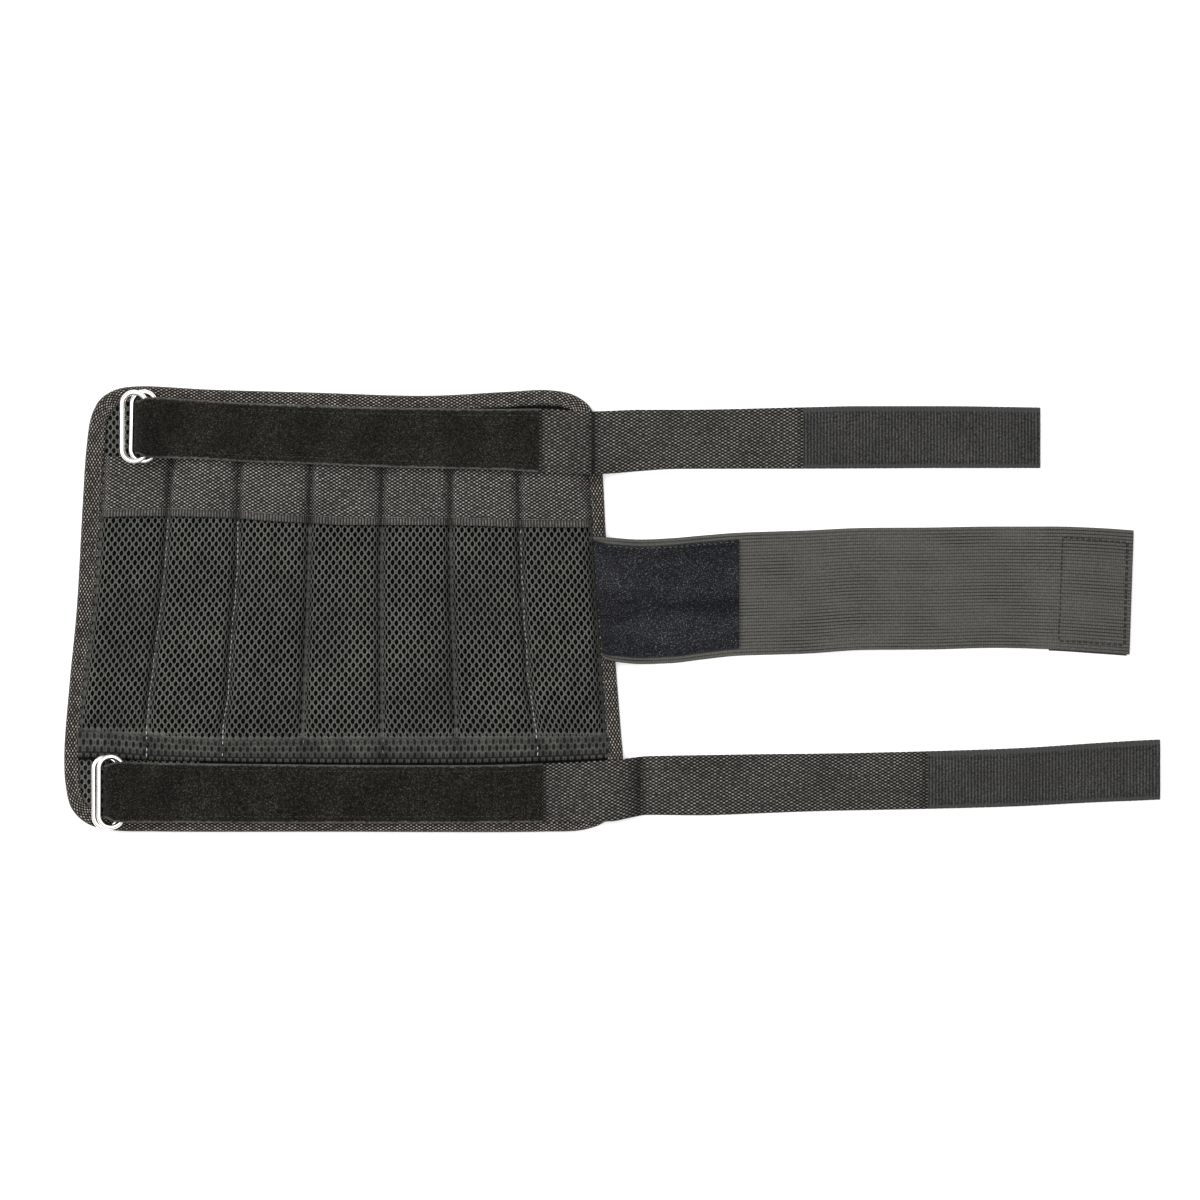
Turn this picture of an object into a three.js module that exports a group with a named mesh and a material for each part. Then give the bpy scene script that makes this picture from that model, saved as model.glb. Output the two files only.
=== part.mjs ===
// Strap-on leg weight, laid open and flat: a tapered padded panel with seven
// open-topped pockets, two webbing straps folded round pairs of metal rings,
// and one wide elastic strap with hook-and-loop patches.
// Millimetres, +Z up. The object lies on the plane z = 0; the origin is the
// middle of its bounding box on that plane. +X runs along the straps, towards
// their free ends, and +Y towards the pockets' mouths.
import * as THREE from 'three';
import { mergeVertices } from 'three/addons/utils/BufferGeometryUtils.js';

// ---------------------------------------------------------------- sizes (mm)
const GAP = 0.3;              // clearance between pieces that touch
const TAPE_T = 1.0;           // edge binding tape
const PANEL_EDGE_T = 1.5;     // padded panel where the binding grips it
const PANEL_T = 3.0;          // padded panel, middle
const MESH_T = 1.0;           // pocket mesh
const BAND_T = 1.0;           // webbing along the pocket mouths
const WEB_T = 1.3;            // strap webbing
const PILE_T = 1.1;           // loop and hook tape on the straps
const ELASTIC_T = 1.5;        // wide elastic
const PATCH_T = 1.1;          // patches on the elastic
const BAND_W = 30.3;          // webbing along the pocket mouths, across
const STITCH_IN = 0.5;        // pocket mesh stops this far from the binding

const PUFF = 5.2;             // rise of an open pocket over its seams
const PUFF_MOUTH = 4.5;       // the same at the mouth, under the webbing
const ARCH_P = 3.4;           // shape of a pocket's cross-section
const ARCH_Q = 0.38;

const WIRE_D = 2.6;           // ring wire
const RING_W = 14.2;          // ring outside width
const RING_L = 37.8;          // ring outside length
const FOLD_R = (2 * WIRE_D + 3 * GAP) / 2;   // inside of the strap's fold
const FOLD_HALF = 13.2;       // half width of the strap inside the rings

const BIND_TOP = TAPE_T + GAP + PANEL_EDGE_T + GAP + TAPE_T;   // 4.1
const LAY = BIND_TOP + GAP;                                    // 4.4

// ------------------------------------------------------------------- tables
// Outer edge of the binding, clockwise from the lower left; w is the width of
// tape that shows, n the number of steps to the next row.
const OUTLINE = [
  { at: 'left, low', x: -274.1, y: -72.0, w: 7.4, n: 2 },
  { at: 'left', x: -271.4, y: -36.4, w: 7.6, n: 2 },
  { at: 'left, middle', x: -267.9, y: 0.1, w: 8.9, n: 2 },
  { at: 'left, high', x: -264.9, y: 52.6, w: 9.9, n: 2 },
  { at: 'left, top', x: -263.0, y: 81.0, w: 9.6, n: 2 },
  { at: 'corner 1a', x: -260.4, y: 97.1, w: 8.6, n: 2 },
  { at: 'corner 1b', x: -255.8, y: 105.3, w: 8.0, n: 2 },
  { at: 'corner 1c', x: -248.5, y: 109.8, w: 7.8, n: 2 },
  { at: 'top, left', x: -238.0, y: 111.5, w: 7.8, n: 2 },
  { at: 'top 1', x: -199.8, y: 109.8, w: 7.8, n: 2 },
  { at: 'top 2', x: -150.0, y: 108.4, w: 7.8, n: 2 },
  { at: 'top 3', x: -93.2, y: 106.8, w: 7.8, n: 2 },
  { at: 'top 4', x: -55.2, y: 108.6, w: 7.8, n: 2 },
  { at: 'top, right', x: -32.0, y: 109.6, w: 7.8, n: 2 },
  { at: 'corner 2a', x: -19.5, y: 107.2, w: 7.6, n: 2 },
  { at: 'corner 2b', x: -10.8, y: 100.6, w: 7.4, n: 2 },
  { at: 'right, top', x: -7.4, y: 89.0, w: 7.4, n: 2 },
  { at: 'right, high', x: -4.9, y: 67.6, w: 7.6, n: 2 },
  { at: 'right 1', x: -3.2, y: 36.1, w: 6.9, n: 2 },
  { at: 'right 2', x: 1.6, y: -26.9, w: 7.7, n: 2 },
  { at: 'right 3', x: 4.2, y: -60.4, w: 8.1, n: 2 },
  { at: 'right, low', x: 5.4, y: -77.0, w: 8.0, n: 2 },
  { at: 'corner 3a', x: 3.8, y: -95.0, w: 7.6, n: 2 },
  { at: 'corner 3b', x: -3.0, y: -105.6, w: 7.4, n: 2 },
  { at: 'corner 3c', x: -14.0, y: -110.1, w: 7.4, n: 2 },
  { at: 'bottom, right', x: -36.2, y: -111.2, w: 7.4, n: 3 },
  { at: 'bottom', x: -141.2, y: -111.2, w: 7.4, n: 3 },
  { at: 'bottom, left', x: -226.0, y: -111.1, w: 7.4, n: 2 },
  { at: 'corner 4a', x: -250.0, y: -110.4, w: 7.4, n: 2 },
  { at: 'corner 4b', x: -262.5, y: -107.2, w: 7.4, n: 2 },
  { at: 'corner 4c', x: -270.3, y: -99.8, w: 7.4, n: 2 },
  { at: 'left, bottom', x: -273.4, y: -88.0, w: 7.4, n: 2 },
];

// Seams between the pockets: x of each seam at a few heights.
const SEAMS = [
  { y: 76.1, s1: -220.2, s2: -186.2, s3: -150.5, s4: -114.5, s5: -80.8, s6: -47.0 },
  { y: 46.1, s1: -222.2, s2: -187.0, s3: -151.0, s4: -115.0, s5: -80.8, s6: -46.2 },
  { y: 9.6, s1: -224.8, s2: -188.2, s3: -152.0, s4: -115.5, s5: -80.4, s6: -44.9 },
  { y: -18.9, s1: -228.2, s2: -190.8, s3: -153.0, s4: -115.3, s5: -79.4, s6: -43.0 },
  { y: -40.4, s1: -231.0, s2: -191.8, s3: -153.8, s4: -115.2, s5: -78.8, s6: -41.4 },
  { y: -62.9, s1: -232.8, s2: -194.8, s3: -154.5, s4: -115.0, s5: -78.0, s6: -37.9 },
  { y: -76.0, s1: -232.8, s2: -195.2, s3: -154.5, s4: -115.0, s5: -77.8, s6: -37.2 },
];

// Lines across the pocket sheet: mouth, fold at the pockets' foot, end of hem.
const CROSS = [
  { x: -266.0, mouth: 76.2, fold: -60.9, hem: -74.4 },
  { x: -254.0, mouth: 76.4, fold: -61.4, hem: -74.6 },
  { x: -228.0, mouth: 76.8, fold: -63.4, hem: -76.0 },
  { x: -190.0, mouth: 75.9, fold: -65.9, hem: -76.6 },
  { x: -171.0, mouth: 74.4, fold: -65.6, hem: -76.9 },
  { x: -152.0, mouth: 73.4, fold: -65.2, hem: -77.1 },
  { x: -133.0, mouth: 72.4, fold: -64.9, hem: -77.3 },
  { x: -84.0, mouth: 72.3, fold: -64.6, hem: -77.4 },
  { x: -46.0, mouth: 71.4, fold: -64.1, hem: -76.7 },
  { x: -12.0, mouth: 71.2, fold: -63.7, hem: -75.4 },
  { x: -3.0, mouth: 71.2, fold: -63.5, hem: -74.8 },
];

// Rows of a pocket from its mouth (0) to the fold at its foot (1), with the
// share of the full puff that it has there. The hem runs on from 1 to 2.
const SHEET_ROWS = [
  { at: 0.0, puff: PUFF_MOUTH / PUFF },
  { at: 0.12, puff: PUFF_MOUTH / PUFF },
  { at: 0.22, puff: 0.9 },
  { at: 0.34, puff: 0.98 },
  { at: 0.5, puff: 1.0 },
  { at: 0.66, puff: 1.0 },
  { at: 0.8, puff: 0.97 },
  { at: 0.9, puff: 0.86 },
  { at: 0.955, puff: 0.58 },
  { at: 0.985, puff: 0.24 },
  { at: 1.0, puff: 0.0 },
];

// Steps across one pocket, from seam (0) to seam (1).
const ACROSS = [0, 0.05, 0.13, 0.27, 0.5, 0.73, 0.87, 0.95];

// Edges of the straps in plan, and the height of their underside at each edge.
const TOP_EDGES = [
  { x: -242.0, up: 106.7, low: 75.6 }, { x: -209.2, up: 104.8, low: 75.1 },
  { x: -180.8, up: 103.1, low: 73.6 }, { x: -151.8, up: 101.9, low: 72.6 },
  { x: -126.2, up: 101.1, low: 71.4 }, { x: -93.2, up: 100.5, low: 70.4 },
  { x: -55.2, up: 100.1, low: 69.6 }, { x: -36.2, up: 100.3, low: 68.4 },
  { x: -10.2, up: 98.9, low: 67.4 }, { x: -1.2, up: 99.2, low: 67.8 },
  { x: 13.8, up: 99.8, low: 69.1 }, { x: 33.8, up: 99.8, low: 70.2 },
  { x: 95.2, up: 101.0, low: 70.3 }, { x: 123.8, up: 101.6, low: 70.4 },
  { x: 163.8, up: 101.6, low: 70.6 }, { x: 214.2, up: 100.9, low: 70.6 },
];
const TOP_LAY = [
  { x: -260, up: 4.4, low: 10.9 }, { x: -180, up: 4.4, low: 10.9 },
  { x: -93, up: 4.4, low: 11.2 }, { x: -40, up: 4.4, low: 11.5 },
  { x: -24, up: 4.4, low: 11.3 }, { x: -14, up: 4.4, low: 9.9 },
  { x: -8, up: 4.4, low: 7.8 }, { x: -4, up: 4.3, low: 6.0 },
  { x: 2, up: 3.2, low: 3.6 }, { x: 8, up: 1.5, low: 1.6 },
  { x: 14, up: 0.4, low: 0.4 }, { x: 20, up: 0, low: 0 },
  { x: 70, up: 0, low: 0 }, { x: 90, up: 0.5, low: 0.4 },
  { x: 112, up: 0, low: 0 }, { x: 150, up: 0, low: 0 },
  { x: 178, up: 0.6, low: 0.4 }, { x: 205, up: 0, low: 0 }, { x: 216, up: 0, low: 0 },
];
const BOTTOM_EDGES = [
  { x: -258.0, up: -75.3, low: -106.5 }, { x: -234.2, up: -76.5, low: -106.6 },
  { x: -208.8, up: -77.0, low: -106.7 }, { x: -166.2, up: -77.5, low: -107.0 },
  { x: -106.2, up: -77.9, low: -107.0 }, { x: -72.2, up: -77.9, low: -106.9 },
  { x: -35.2, up: -77.1, low: -106.5 }, { x: -0.8, up: -75.4, low: -106.0 },
  { x: 8.8, up: -74.3, low: -104.2 }, { x: 17.2, up: -73.4, low: -102.8 },
  { x: 43.8, up: -72.9, low: -103.0 }, { x: 73.8, up: -72.4, low: -102.0 },
  { x: 103.8, up: -72.1, low: -100.9 }, { x: 157.8, up: -70.9, low: -99.8 },
  { x: 200.2, up: -69.5, low: -98.6 }, { x: 243.8, up: -66.7, low: -96.4 },
  { x: 261.8, up: -65.6, low: -95.7 }, { x: 274.2, up: -65.0, low: -95.1 },
];
const BOTTOM_LAY = [
  { x: -262, up: 4.4, low: 4.4 }, { x: 2, up: 4.4, low: 4.4 },
  { x: 6, up: 4.2, low: 4.0 }, { x: 10, up: 2.9, low: 2.7 },
  { x: 15, up: 1.1, low: 1.0 }, { x: 20, up: 0.2, low: 0.2 },
  { x: 25, up: 0, low: 0 }, { x: 80, up: 0, low: 0 },
  { x: 118, up: 0.6, low: 0.3 }, { x: 160, up: 0, low: 0 },
  { x: 215, up: 0.3, low: 0.1 }, { x: 250, up: 0, low: 0 }, { x: 276, up: 0, low: 0 },
];
const ELASTIC_EDGES = [
  { x: -10.2, up: 36.6, low: -22.6 }, { x: -3.2, up: 36.2, low: -25.8 },
  { x: 14.2, up: 34.9, low: -27.4 }, { x: 29.8, up: 35.6, low: -26.9 },
  { x: 44.8, up: 36.9, low: -25.1 }, { x: 63.2, up: 38.3, low: -23.2 },
  { x: 95.8, up: 39.4, low: -22.2 }, { x: 126.8, up: 40.7, low: -20.3 },
  { x: 157.8, up: 40.9, low: -20.1 }, { x: 191.2, up: 41.4, low: -19.3 },
  { x: 219.8, up: 41.4, low: -20.0 }, { x: 243.8, up: 40.6, low: -21.5 },
  { x: 260.8, up: 39.4, low: -22.7 },
];
const ELASTIC_LAY = [
  { x: -12, z: LAY }, { x: 1, z: 4.6 }, { x: 5, z: 4.1 }, { x: 11, z: 2.4 },
  { x: 18, z: 0.8 }, { x: 25, z: 0.1 }, { x: 32, z: 0 }, { x: 84, z: 0 },
  { x: 106, z: 0.8 }, { x: 126, z: 1.7 }, { x: 146, z: 0.8 }, { x: 166, z: 0 },
  { x: 202, z: 0 }, { x: 211, z: 0.6 }, { x: 218, z: 1.4 }, { x: 262, z: 1.4 },
];
// How far the navy patch stops from the elastic's edges.
const PATCH_IN = [
  { x: -10, up: 1.2, low: 1.6 }, { x: 3, up: 3.6, low: 3.2 },
  { x: 24, up: 3.7, low: 3.4 }, { x: 64, up: 3.4, low: 3.8 },
];

// How a strap is folded round its rings: c is the middle of the fold, and the
// path gives the height of the upper layer's underside over the strap's lay.
const FOLDS = {
  top: {
    c: -233.2, lowerEnd: -216.6,
    path: [
      { x: -231.0, h: 7.4 }, { x: -229.2, h: 6.9 }, { x: -226.6, h: 5.5 },
      { x: -224.0, h: 3.8 }, { x: -221.4, h: 2.3 }, { x: -218.6, h: 1.65 },
      { x: -215.6, h: 1.5 }, { x: -213.0, h: 0.9 }, { x: -210.4, h: 0.25 }, { x: -207.4, h: 0 },
    ],
  },
  bottom: {
    c: -249.0, lowerEnd: -229.8,
    path: [
      { x: -246.4, h: 7.4 }, { x: -243.8, h: 7.3 }, { x: -241.4, h: 6.3 },
      { x: -238.8, h: 4.5 }, { x: -236.2, h: 2.8 }, { x: -233.4, h: 1.8 },
      { x: -229.0, h: 1.55 }, { x: -226.2, h: 0.9 }, { x: -223.6, h: 0.25 }, { x: -220.6, h: 0 },
    ],
  },
};

// A strap is made in three stretches that meet end to end: its folded end, the
// stretch over the panel and down its side, and the free tail. A null start is
// the end under the rings.
const STRAP_PARTS = {
  top: [
    { name: 'strap_top_fold', from: null, to: -207.4 },
    { name: 'strap_top', from: -207.4 + GAP, to: 20.0 },
    { name: 'strap_top_tail', from: 20.0 + GAP, to: 214.2 },
  ],
  bottom: [
    { name: 'strap_bottom_fold', from: null, to: -220.6 },
    { name: 'strap_bottom', from: -220.6 + GAP, to: 25.0 },
    { name: 'strap_bottom_tail', from: 25.0 + GAP, to: 274.1 },
  ],
};

// Stretches of the band, with the first and last pocket that each lies over.
const BAND_PARTS = [
  { name: 'pocket_band_1', first: 0, last: 1 },
  { name: 'pocket_band_2', first: 2, last: 4 },
  { name: 'pocket_band_3', first: 5, last: 6 },
];

// Ring centres, and the height of the wire's middle over the strap's lay.
const RINGS = [
  { name: 'ring_top_a', fold: 'top', x: -238.9, y: 91.1, level: 1.95, turn: 0.2 },
  { name: 'ring_top_b', fold: 'top', x: -234.3, y: 91.3, level: 1, turn: -0.9 },
  { name: 'ring_bottom_a', fold: 'bottom', x: -253.3, y: -91.5, level: 1, turn: 0.3 },
  { name: 'ring_bottom_b', fold: 'bottom', x: -250.6, y: -91.2, level: 2, turn: -0.2 },
];

// -------------------------------------------------------------- small tools
const mix = (a, b, t) => a + (b - a) * t;

// A smooth curve through a table's column that never overshoots its rows.
function column(rows, along, key) {
  const xs = rows.map((r) => r[along]);
  const ys = rows.map((r) => r[key]);
  const flip = xs[0] > xs[xs.length - 1];
  if (flip) { xs.reverse(); ys.reverse(); }
  const n = xs.length;
  const d = [];
  for (let i = 0; i < n - 1; i++) d.push((ys[i + 1] - ys[i]) / (xs[i + 1] - xs[i]));
  const m = [d[0]];
  for (let i = 1; i < n - 1; i++) m.push(d[i - 1] * d[i] <= 0 ? 0 : 2 / (1 / d[i - 1] + 1 / d[i]));
  m.push(d[n - 2]);
  return (x) => {
    if (x <= xs[0]) return ys[0];
    if (x >= xs[n - 1]) return ys[n - 1];
    let i = 0;
    while (x > xs[i + 1]) i++;
    const h = xs[i + 1] - xs[i];
    const t = (x - xs[i]) / h;
    const t2 = t * t;
    const t3 = t2 * t;
    return (2 * t3 - 3 * t2 + 1) * ys[i] + (t3 - 2 * t2 + t) * h * m[i]
      + (3 * t2 - 2 * t3) * ys[i + 1] + (t3 - t2) * h * m[i + 1];
  };
}

// Turns points and triangles into one closed body facing out.
function body(points, triangles) {
  const g = new THREE.BufferGeometry();
  g.setAttribute('position', new THREE.Float32BufferAttribute(points.flatMap((p) => [p.x, p.y, p.z]), 3));
  let volume = 0;
  const a = new THREE.Vector3();
  for (const [i, j, k] of triangles) volume += points[i].dot(a.crossVectors(points[j], points[k]));
  g.setIndex(triangles.flatMap(([i, j, k]) => (volume > 0 ? [i, j, k] : [i, k, j])));
  return g;
}

// A cloth wall between two grids of points, one under and one over.
function wall(under, over) {
  const rows = under.length;
  const cols = under[0].length;
  const points = [...under.flat(), ...over.flat()];
  const at = (layer, r, c) => layer * rows * cols + r * cols + c;
  const triangles = [];
  const quad = (a, b, c, d) => triangles.push([a, b, c], [a, c, d]);
  for (let r = 0; r < rows - 1; r++) {
    for (let c = 0; c < cols - 1; c++) {
      quad(at(1, r, c), at(1, r, c + 1), at(1, r + 1, c + 1), at(1, r + 1, c));
      quad(at(0, r, c), at(0, r + 1, c), at(0, r + 1, c + 1), at(0, r, c + 1));
    }
    quad(at(0, r, 0), at(1, r, 0), at(1, r + 1, 0), at(0, r + 1, 0));
    quad(at(0, r, cols - 1), at(0, r + 1, cols - 1), at(1, r + 1, cols - 1), at(1, r, cols - 1));
  }
  for (let c = 0; c < cols - 1; c++) {
    quad(at(0, 0, c), at(0, 0, c + 1), at(1, 0, c + 1), at(1, 0, c));
    quad(at(0, rows - 1, c), at(1, rows - 1, c), at(1, rows - 1, c + 1), at(0, rows - 1, c + 1));
  }
  return body(points, triangles);
}

// Joins loops of points in order; closed joins the last to the first, and an
// open stack is capped from the middle of its end loops.
function loft(loops, closed) {
  const n = loops[0].length;
  const points = loops.flat();
  const triangles = [];
  const count = closed ? loops.length : loops.length - 1;
  for (let i = 0; i < count; i++) {
    const j = (i + 1) % loops.length;
    for (let k = 0; k < n; k++) {
      const l = (k + 1) % n;
      triangles.push([i * n + k, i * n + l, j * n + l], [i * n + k, j * n + l, j * n + k]);
    }
  }
  if (!closed) {
    for (const [i, first] of [[0, true], [loops.length - 1, false]]) {
      const middle = new THREE.Vector3();
      loops[i].forEach((p) => middle.addScaledVector(p, 1 / n));
      points.push(middle);
      for (let k = 0; k < n; k++) {
        const l = (k + 1) % n;
        triangles.push(first ? [points.length - 1, i * n + l, i * n + k] : [points.length - 1, i * n + k, i * n + l]);
      }
    }
  }
  return body(points, triangles);
}

// --------------------------------------------------------------- the outline
const outlineCurve = new THREE.CatmullRomCurve3(
  OUTLINE.map((r) => new THREE.Vector3(r.x, r.y, 0)), true, 'centripetal');
const OUTER = [];
OUTLINE.forEach((row, i) => {
  const next = OUTLINE[(i + 1) % OUTLINE.length];
  for (let k = 0; k < row.n; k++) {
    const t = (i + k / row.n) / OUTLINE.length;
    const tangent = outlineCurve.getTangent(t);
    OUTER.push({
      p: outlineCurve.getPoint(t),
      inward: new THREE.Vector3(tangent.y, -tangent.x, 0).normalize(),
      w: mix(row.w, next.w, k / row.n),
    });
  }
});

// The outline moved inward: by d, and by the tape's width too if wide is 1.
// Points that would cross at a tight corner are evened out along the loop.
function inset(d, wide) {
  const loop = OUTER.map((o) => o.p.clone().addScaledVector(o.inward, d + wide * o.w));
  const n = loop.length;
  for (let pass = 0; pass < 40; pass++) {
    const tight = [];
    for (let i = 0; i < n; i++) {
      const j = (i + 1) % n;
      const along = OUTER[j].p.clone().sub(OUTER[i].p);
      const step = loop[j].clone().sub(loop[i]);
      if (step.dot(along) < 0.12 * along.lengthSq()) tight.push(i, j);
    }
    if (!tight.length) break;
    for (const i of tight) {
      const a = loop[(i + n - 1) % n];
      const b = loop[(i + 1) % n];
      loop[i] = loop[i].clone().multiplyScalar(0.4).addScaledVector(a, 0.3).addScaledVector(b, 0.3);
    }
  }
  return loop;
}

// Where a loop crosses height y, on its left (-1) or right (1) side.
function crossing(loop, y, side) {
  let best = side < 0 ? Infinity : -Infinity;
  loop.forEach((a, i) => {
    const b = loop[(i + 1) % loop.length];
    if ((a.y - y) * (b.y - y) <= 0 && a.y !== b.y) {
      const x = mix(a.x, b.x, (y - a.y) / (b.y - a.y));
      best = side < 0 ? Math.min(best, x) : Math.max(best, x);
    }
  });
  return best;
}

const raise = (loop, z) => loop.map((p) => new THREE.Vector3(p.x, p.y, z));

// -------------------------------------------------------------- the pieces
function basePanel() {
  const edge = inset(TAPE_T + 0.4, 0);
  return loft([
    raise(inset(0.9, 1), 0),
    raise(inset(0.5, 1), TAPE_T + GAP),
    raise(edge, TAPE_T + GAP),
    raise(edge, TAPE_T + GAP + PANEL_EDGE_T),
    raise(inset(0.4, 1), TAPE_T + GAP + PANEL_EDGE_T),
    raise(inset(0.9, 1), PANEL_T),
  ], false);
}

function edgeBinding() {
  const high = BIND_TOP;
  const section = [
    inset(0.5, 0), inset(0, 0), inset(0, 0), inset(0.5, 0), inset(0, 1),
    inset(0, 1), inset(TAPE_T, 0), inset(TAPE_T, 0), inset(0, 1), inset(0, 1),
  ];
  const heights = [0, 0.7, high - 0.7, high, high, high - TAPE_T, high - TAPE_T, TAPE_T, TAPE_T, 0];
  return loft(OUTER.map((_, i) => section.map((loop, k) => new THREE.Vector3(loop[i].x, loop[i].y, heights[k]))), true);
}

const tapeInside = inset(STITCH_IN, 1);
const seamAt = ['s1', 's2', 's3', 's4', 's5', 's6'].map((s) => column(SEAMS, 'y', s));
const mouthAt = column(CROSS, 'x', 'mouth');
const foldAt = column(CROSS, 'x', 'fold');
const hemAt = column(CROSS, 'x', 'hem');
const puffAt = column(SHEET_ROWS, 'at', 'puff');

const boundary = (k, y) => {
  if (k === 0) return crossing(tapeInside, y, -1);
  if (k === 7) return crossing(tapeInside, y, 1);
  return seamAt[k - 1](y);
};
const arch = (w) => (w <= 0 || w >= 1 ? 0 : (1 - Math.abs(2 * w - 1) ** ARCH_P) ** ARCH_Q);

// One row of points over a run of pockets: at runs from mouth to fold to hem,
// and side is how far the row stops short of the run's outer seams.
function sheetRow(at, first, last, shift = 0, side = 0) {
  const points = [];
  for (let pocket = first; pocket <= last; pocket++) {
    const steps = pocket === last ? [...ACROSS, 1] : ACROSS;
    for (const w of steps) {
      const trim = (w === 0 && pocket === first ? side : 0) - (w === 1 ? side : 0);
      let x = mix(boundary(pocket, 20), boundary(pocket + 1, 20), w);
      let y = 0;
      for (let pass = 0; pass < 3; pass++) {
        y = at <= 1 ? mix(mouthAt(x), foldAt(x), at) : mix(foldAt(x), hemAt(x), at - 1);
        y += shift;
        x = mix(boundary(pocket, y), boundary(pocket + 1, y), w) + trim;
      }
      points.push(new THREE.Vector3(x, y, PANEL_T + GAP + PUFF * puffAt(at) * arch(w)));
    }
  }
  return points;
}

// The row lifted by a cloth's thickness, measured square to its slope.
function thicken(row, t) {
  return row.map((p, i) => {
    const a = row[Math.max(0, i - 1)];
    const b = row[Math.min(row.length - 1, i + 1)];
    const slope = Math.max(Math.abs(p.z - a.z) / Math.max(0.1, p.x - a.x), Math.abs(b.z - p.z) / Math.max(0.1, b.x - p.x));
    const mean = Math.min(slope, 1.2);
    return new THREE.Vector3(p.x, p.y, p.z + t * Math.sqrt(1 + mean * mean));
  });
}

// One pocket: an arched cloth wall between two seams, open at its mouth and
// sewn flat at its foot.
function pocketWall(k) {
  const under = SHEET_ROWS.map((r) => sheetRow(r.at, k, k, r.at === 0 ? -1.2 : 0, GAP / 2));
  return wall(under, under.map((row) => thicken(row, MESH_T)));
}

// The flat hem below the pockets, from their fold to the mesh's lower edge.
function pocketHem() {
  const rows = [[1, -GAP], [2, 0]].map(([at, shift]) => sheetRow(at, 0, 6, shift, GAP / 2)
    .filter((_, i) => i % 4 === 0));
  return wall(rows, rows.map((row) => row.map((p) => p.clone().setZ(p.z + MESH_T))));
}

// The webbing band follows the pockets' tops; it is made in stretches that meet
// at seams, each over the pockets from first to last.
function pocketBand(first, last) {
  const depth = (x) => mouthAt(x) - foldAt(x);
  const rows = [0, 0.5, 1].map((f) => {
    const at = f * BAND_W / depth(-130);
    return thicken(sheetRow(at, first, last, 0, GAP / 2), MESH_T).map((p) => p.clone().setZ(p.z + GAP));
  });
  return wall(rows, rows.map((row) => row.map((p) => p.clone().setZ(p.z + BAND_T * 1.12))));
}

// ------------------------------------------------------------------- straps
// A strap's route: stations with a place along X, a height over the lay, and
// the share of the full width that is squeezed inside the rings.
function strapRoute(fold, from, to, steps) {
  const route = [];
  if (fold) {
    for (const x of [fold.lowerEnd, mix(fold.lowerEnd, fold.c, 0.5), fold.c + 1.2]) {
      route.push({ x, h: WEB_T, squeeze: 1, part: 'lower' });
    }
    for (let k = 0; k <= 8; k++) {
      const a = THREE.MathUtils.degToRad(270 - k * 22.5);
      route.push({
        x: fold.c + FOLD_R * Math.cos(a),
        h: WEB_T + FOLD_R + FOLD_R * Math.sin(a),
        squeeze: k <= 6 ? 1 : [0.62, 0.25][k - 7],
        part: k < 4 ? 'under' : 'fold',
      });
    }
    fold.path.forEach((r, i) => route.push({ x: r.x, h: r.h, squeeze: i ? 0 : 0.1, part: 'over' }));
    const start = fold.path[fold.path.length - 1].x;
    for (let k = 1; k <= steps; k++) route.push({ x: mix(start, to, k / steps), h: 0, squeeze: 0, part: 'over' });
  } else {
    for (let k = 0; k <= steps; k++) route.push({ x: mix(from, to, k / steps), h: 0, squeeze: 0, part: 'over' });
  }
  route.forEach((s, i) => {
    const a = route[Math.max(0, i - 1)];
    const b = route[Math.min(route.length - 1, i + 1)];
    const long = Math.hypot(b.x - a.x, b.h - a.h);
    s.nx = -(b.h - a.h) / long;
    s.nz = (b.x - a.x) / long;
  });
  return route;
}

// A layer of a strap: lift is how far it lies outside the strap's inner face.
function layer(route, edges, lay, lift, thick, trim) {
  const up = column(edges, 'x', 'up');
  const low = column(edges, 'x', 'low');
  const layUp = column(lay, 'x', lay[0].z === undefined ? 'up' : 'z');
  const layLow = column(lay, 'x', lay[0].z === undefined ? 'low' : 'z');
  const line = (s, off) => {
    const x = s.x + s.nx * off;
    let yUp = up(s.x) - trim(s.x).up;
    let yLow = low(s.x) + trim(s.x).low;
    const middle = (yUp + yLow) / 2;
    yUp = mix(yUp, middle + FOLD_HALF, s.squeeze);
    yLow = mix(yLow, middle - FOLD_HALF, s.squeeze);
    const full = up(s.x) - low(s.x);
    const zAt = (y) => mix(layUp(s.x), layLow(s.x), (up(s.x) - y) / full);
    const h = s.h + s.nz * off;
    return [
      new THREE.Vector3(x + (s.skewLow || 0), yLow, zAt(yLow) + h),
      new THREE.Vector3(x + (s.skewUp || 0), yUp, zAt(yUp) + h),
    ];
  };
  return wall(route.map((s) => line(s, lift)), route.map((s) => line(s, lift + thick)));
}

const flush = () => ({ up: 0, low: 0 });
const within = (d) => () => ({ up: d, low: d });
// The route's station at an exact place along it.
function stationAt(route, x) {
  const i = Math.max(1, route.findIndex((s) => s.x >= x));
  const a = route[i - 1];
  const b = route[i];
  const t = (x - a.x) / (b.x - a.x);
  const out = { x, part: 'over' };
  for (const key of ['h', 'squeeze', 'nx', 'nz', 'skewUp', 'skewLow']) {
    if (a[key] !== undefined) out[key] = mix(a[key], b[key], t);
  }
  return out;
}
// Stations between two places, with both ends cut exactly there. A null start
// begins inside the fold.
function cut(route, from, to) {
  const over = route.filter((s) => s.part === 'over');
  const lead = from === null ? route.filter((s) => s.part === 'fold') : [stationAt(over, from)];
  const start = from === null ? -Infinity : from + 1.5;
  return [...lead, ...over.filter((s) => s.x > start && s.x < to - 1.5), stationAt(over, to)];
}

// The folded end of a strap, from its end under the rings, round the fold and
// down to where the two layers have become one.
function foldedEnd(route, to) {
  const over = route.filter((s) => s.part === 'over' && s.x < to - 0.5);
  return [...route.filter((s) => s.part !== 'over'), ...over, stationAt(route.filter((s) => s.part === 'over'), to)];
}

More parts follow.
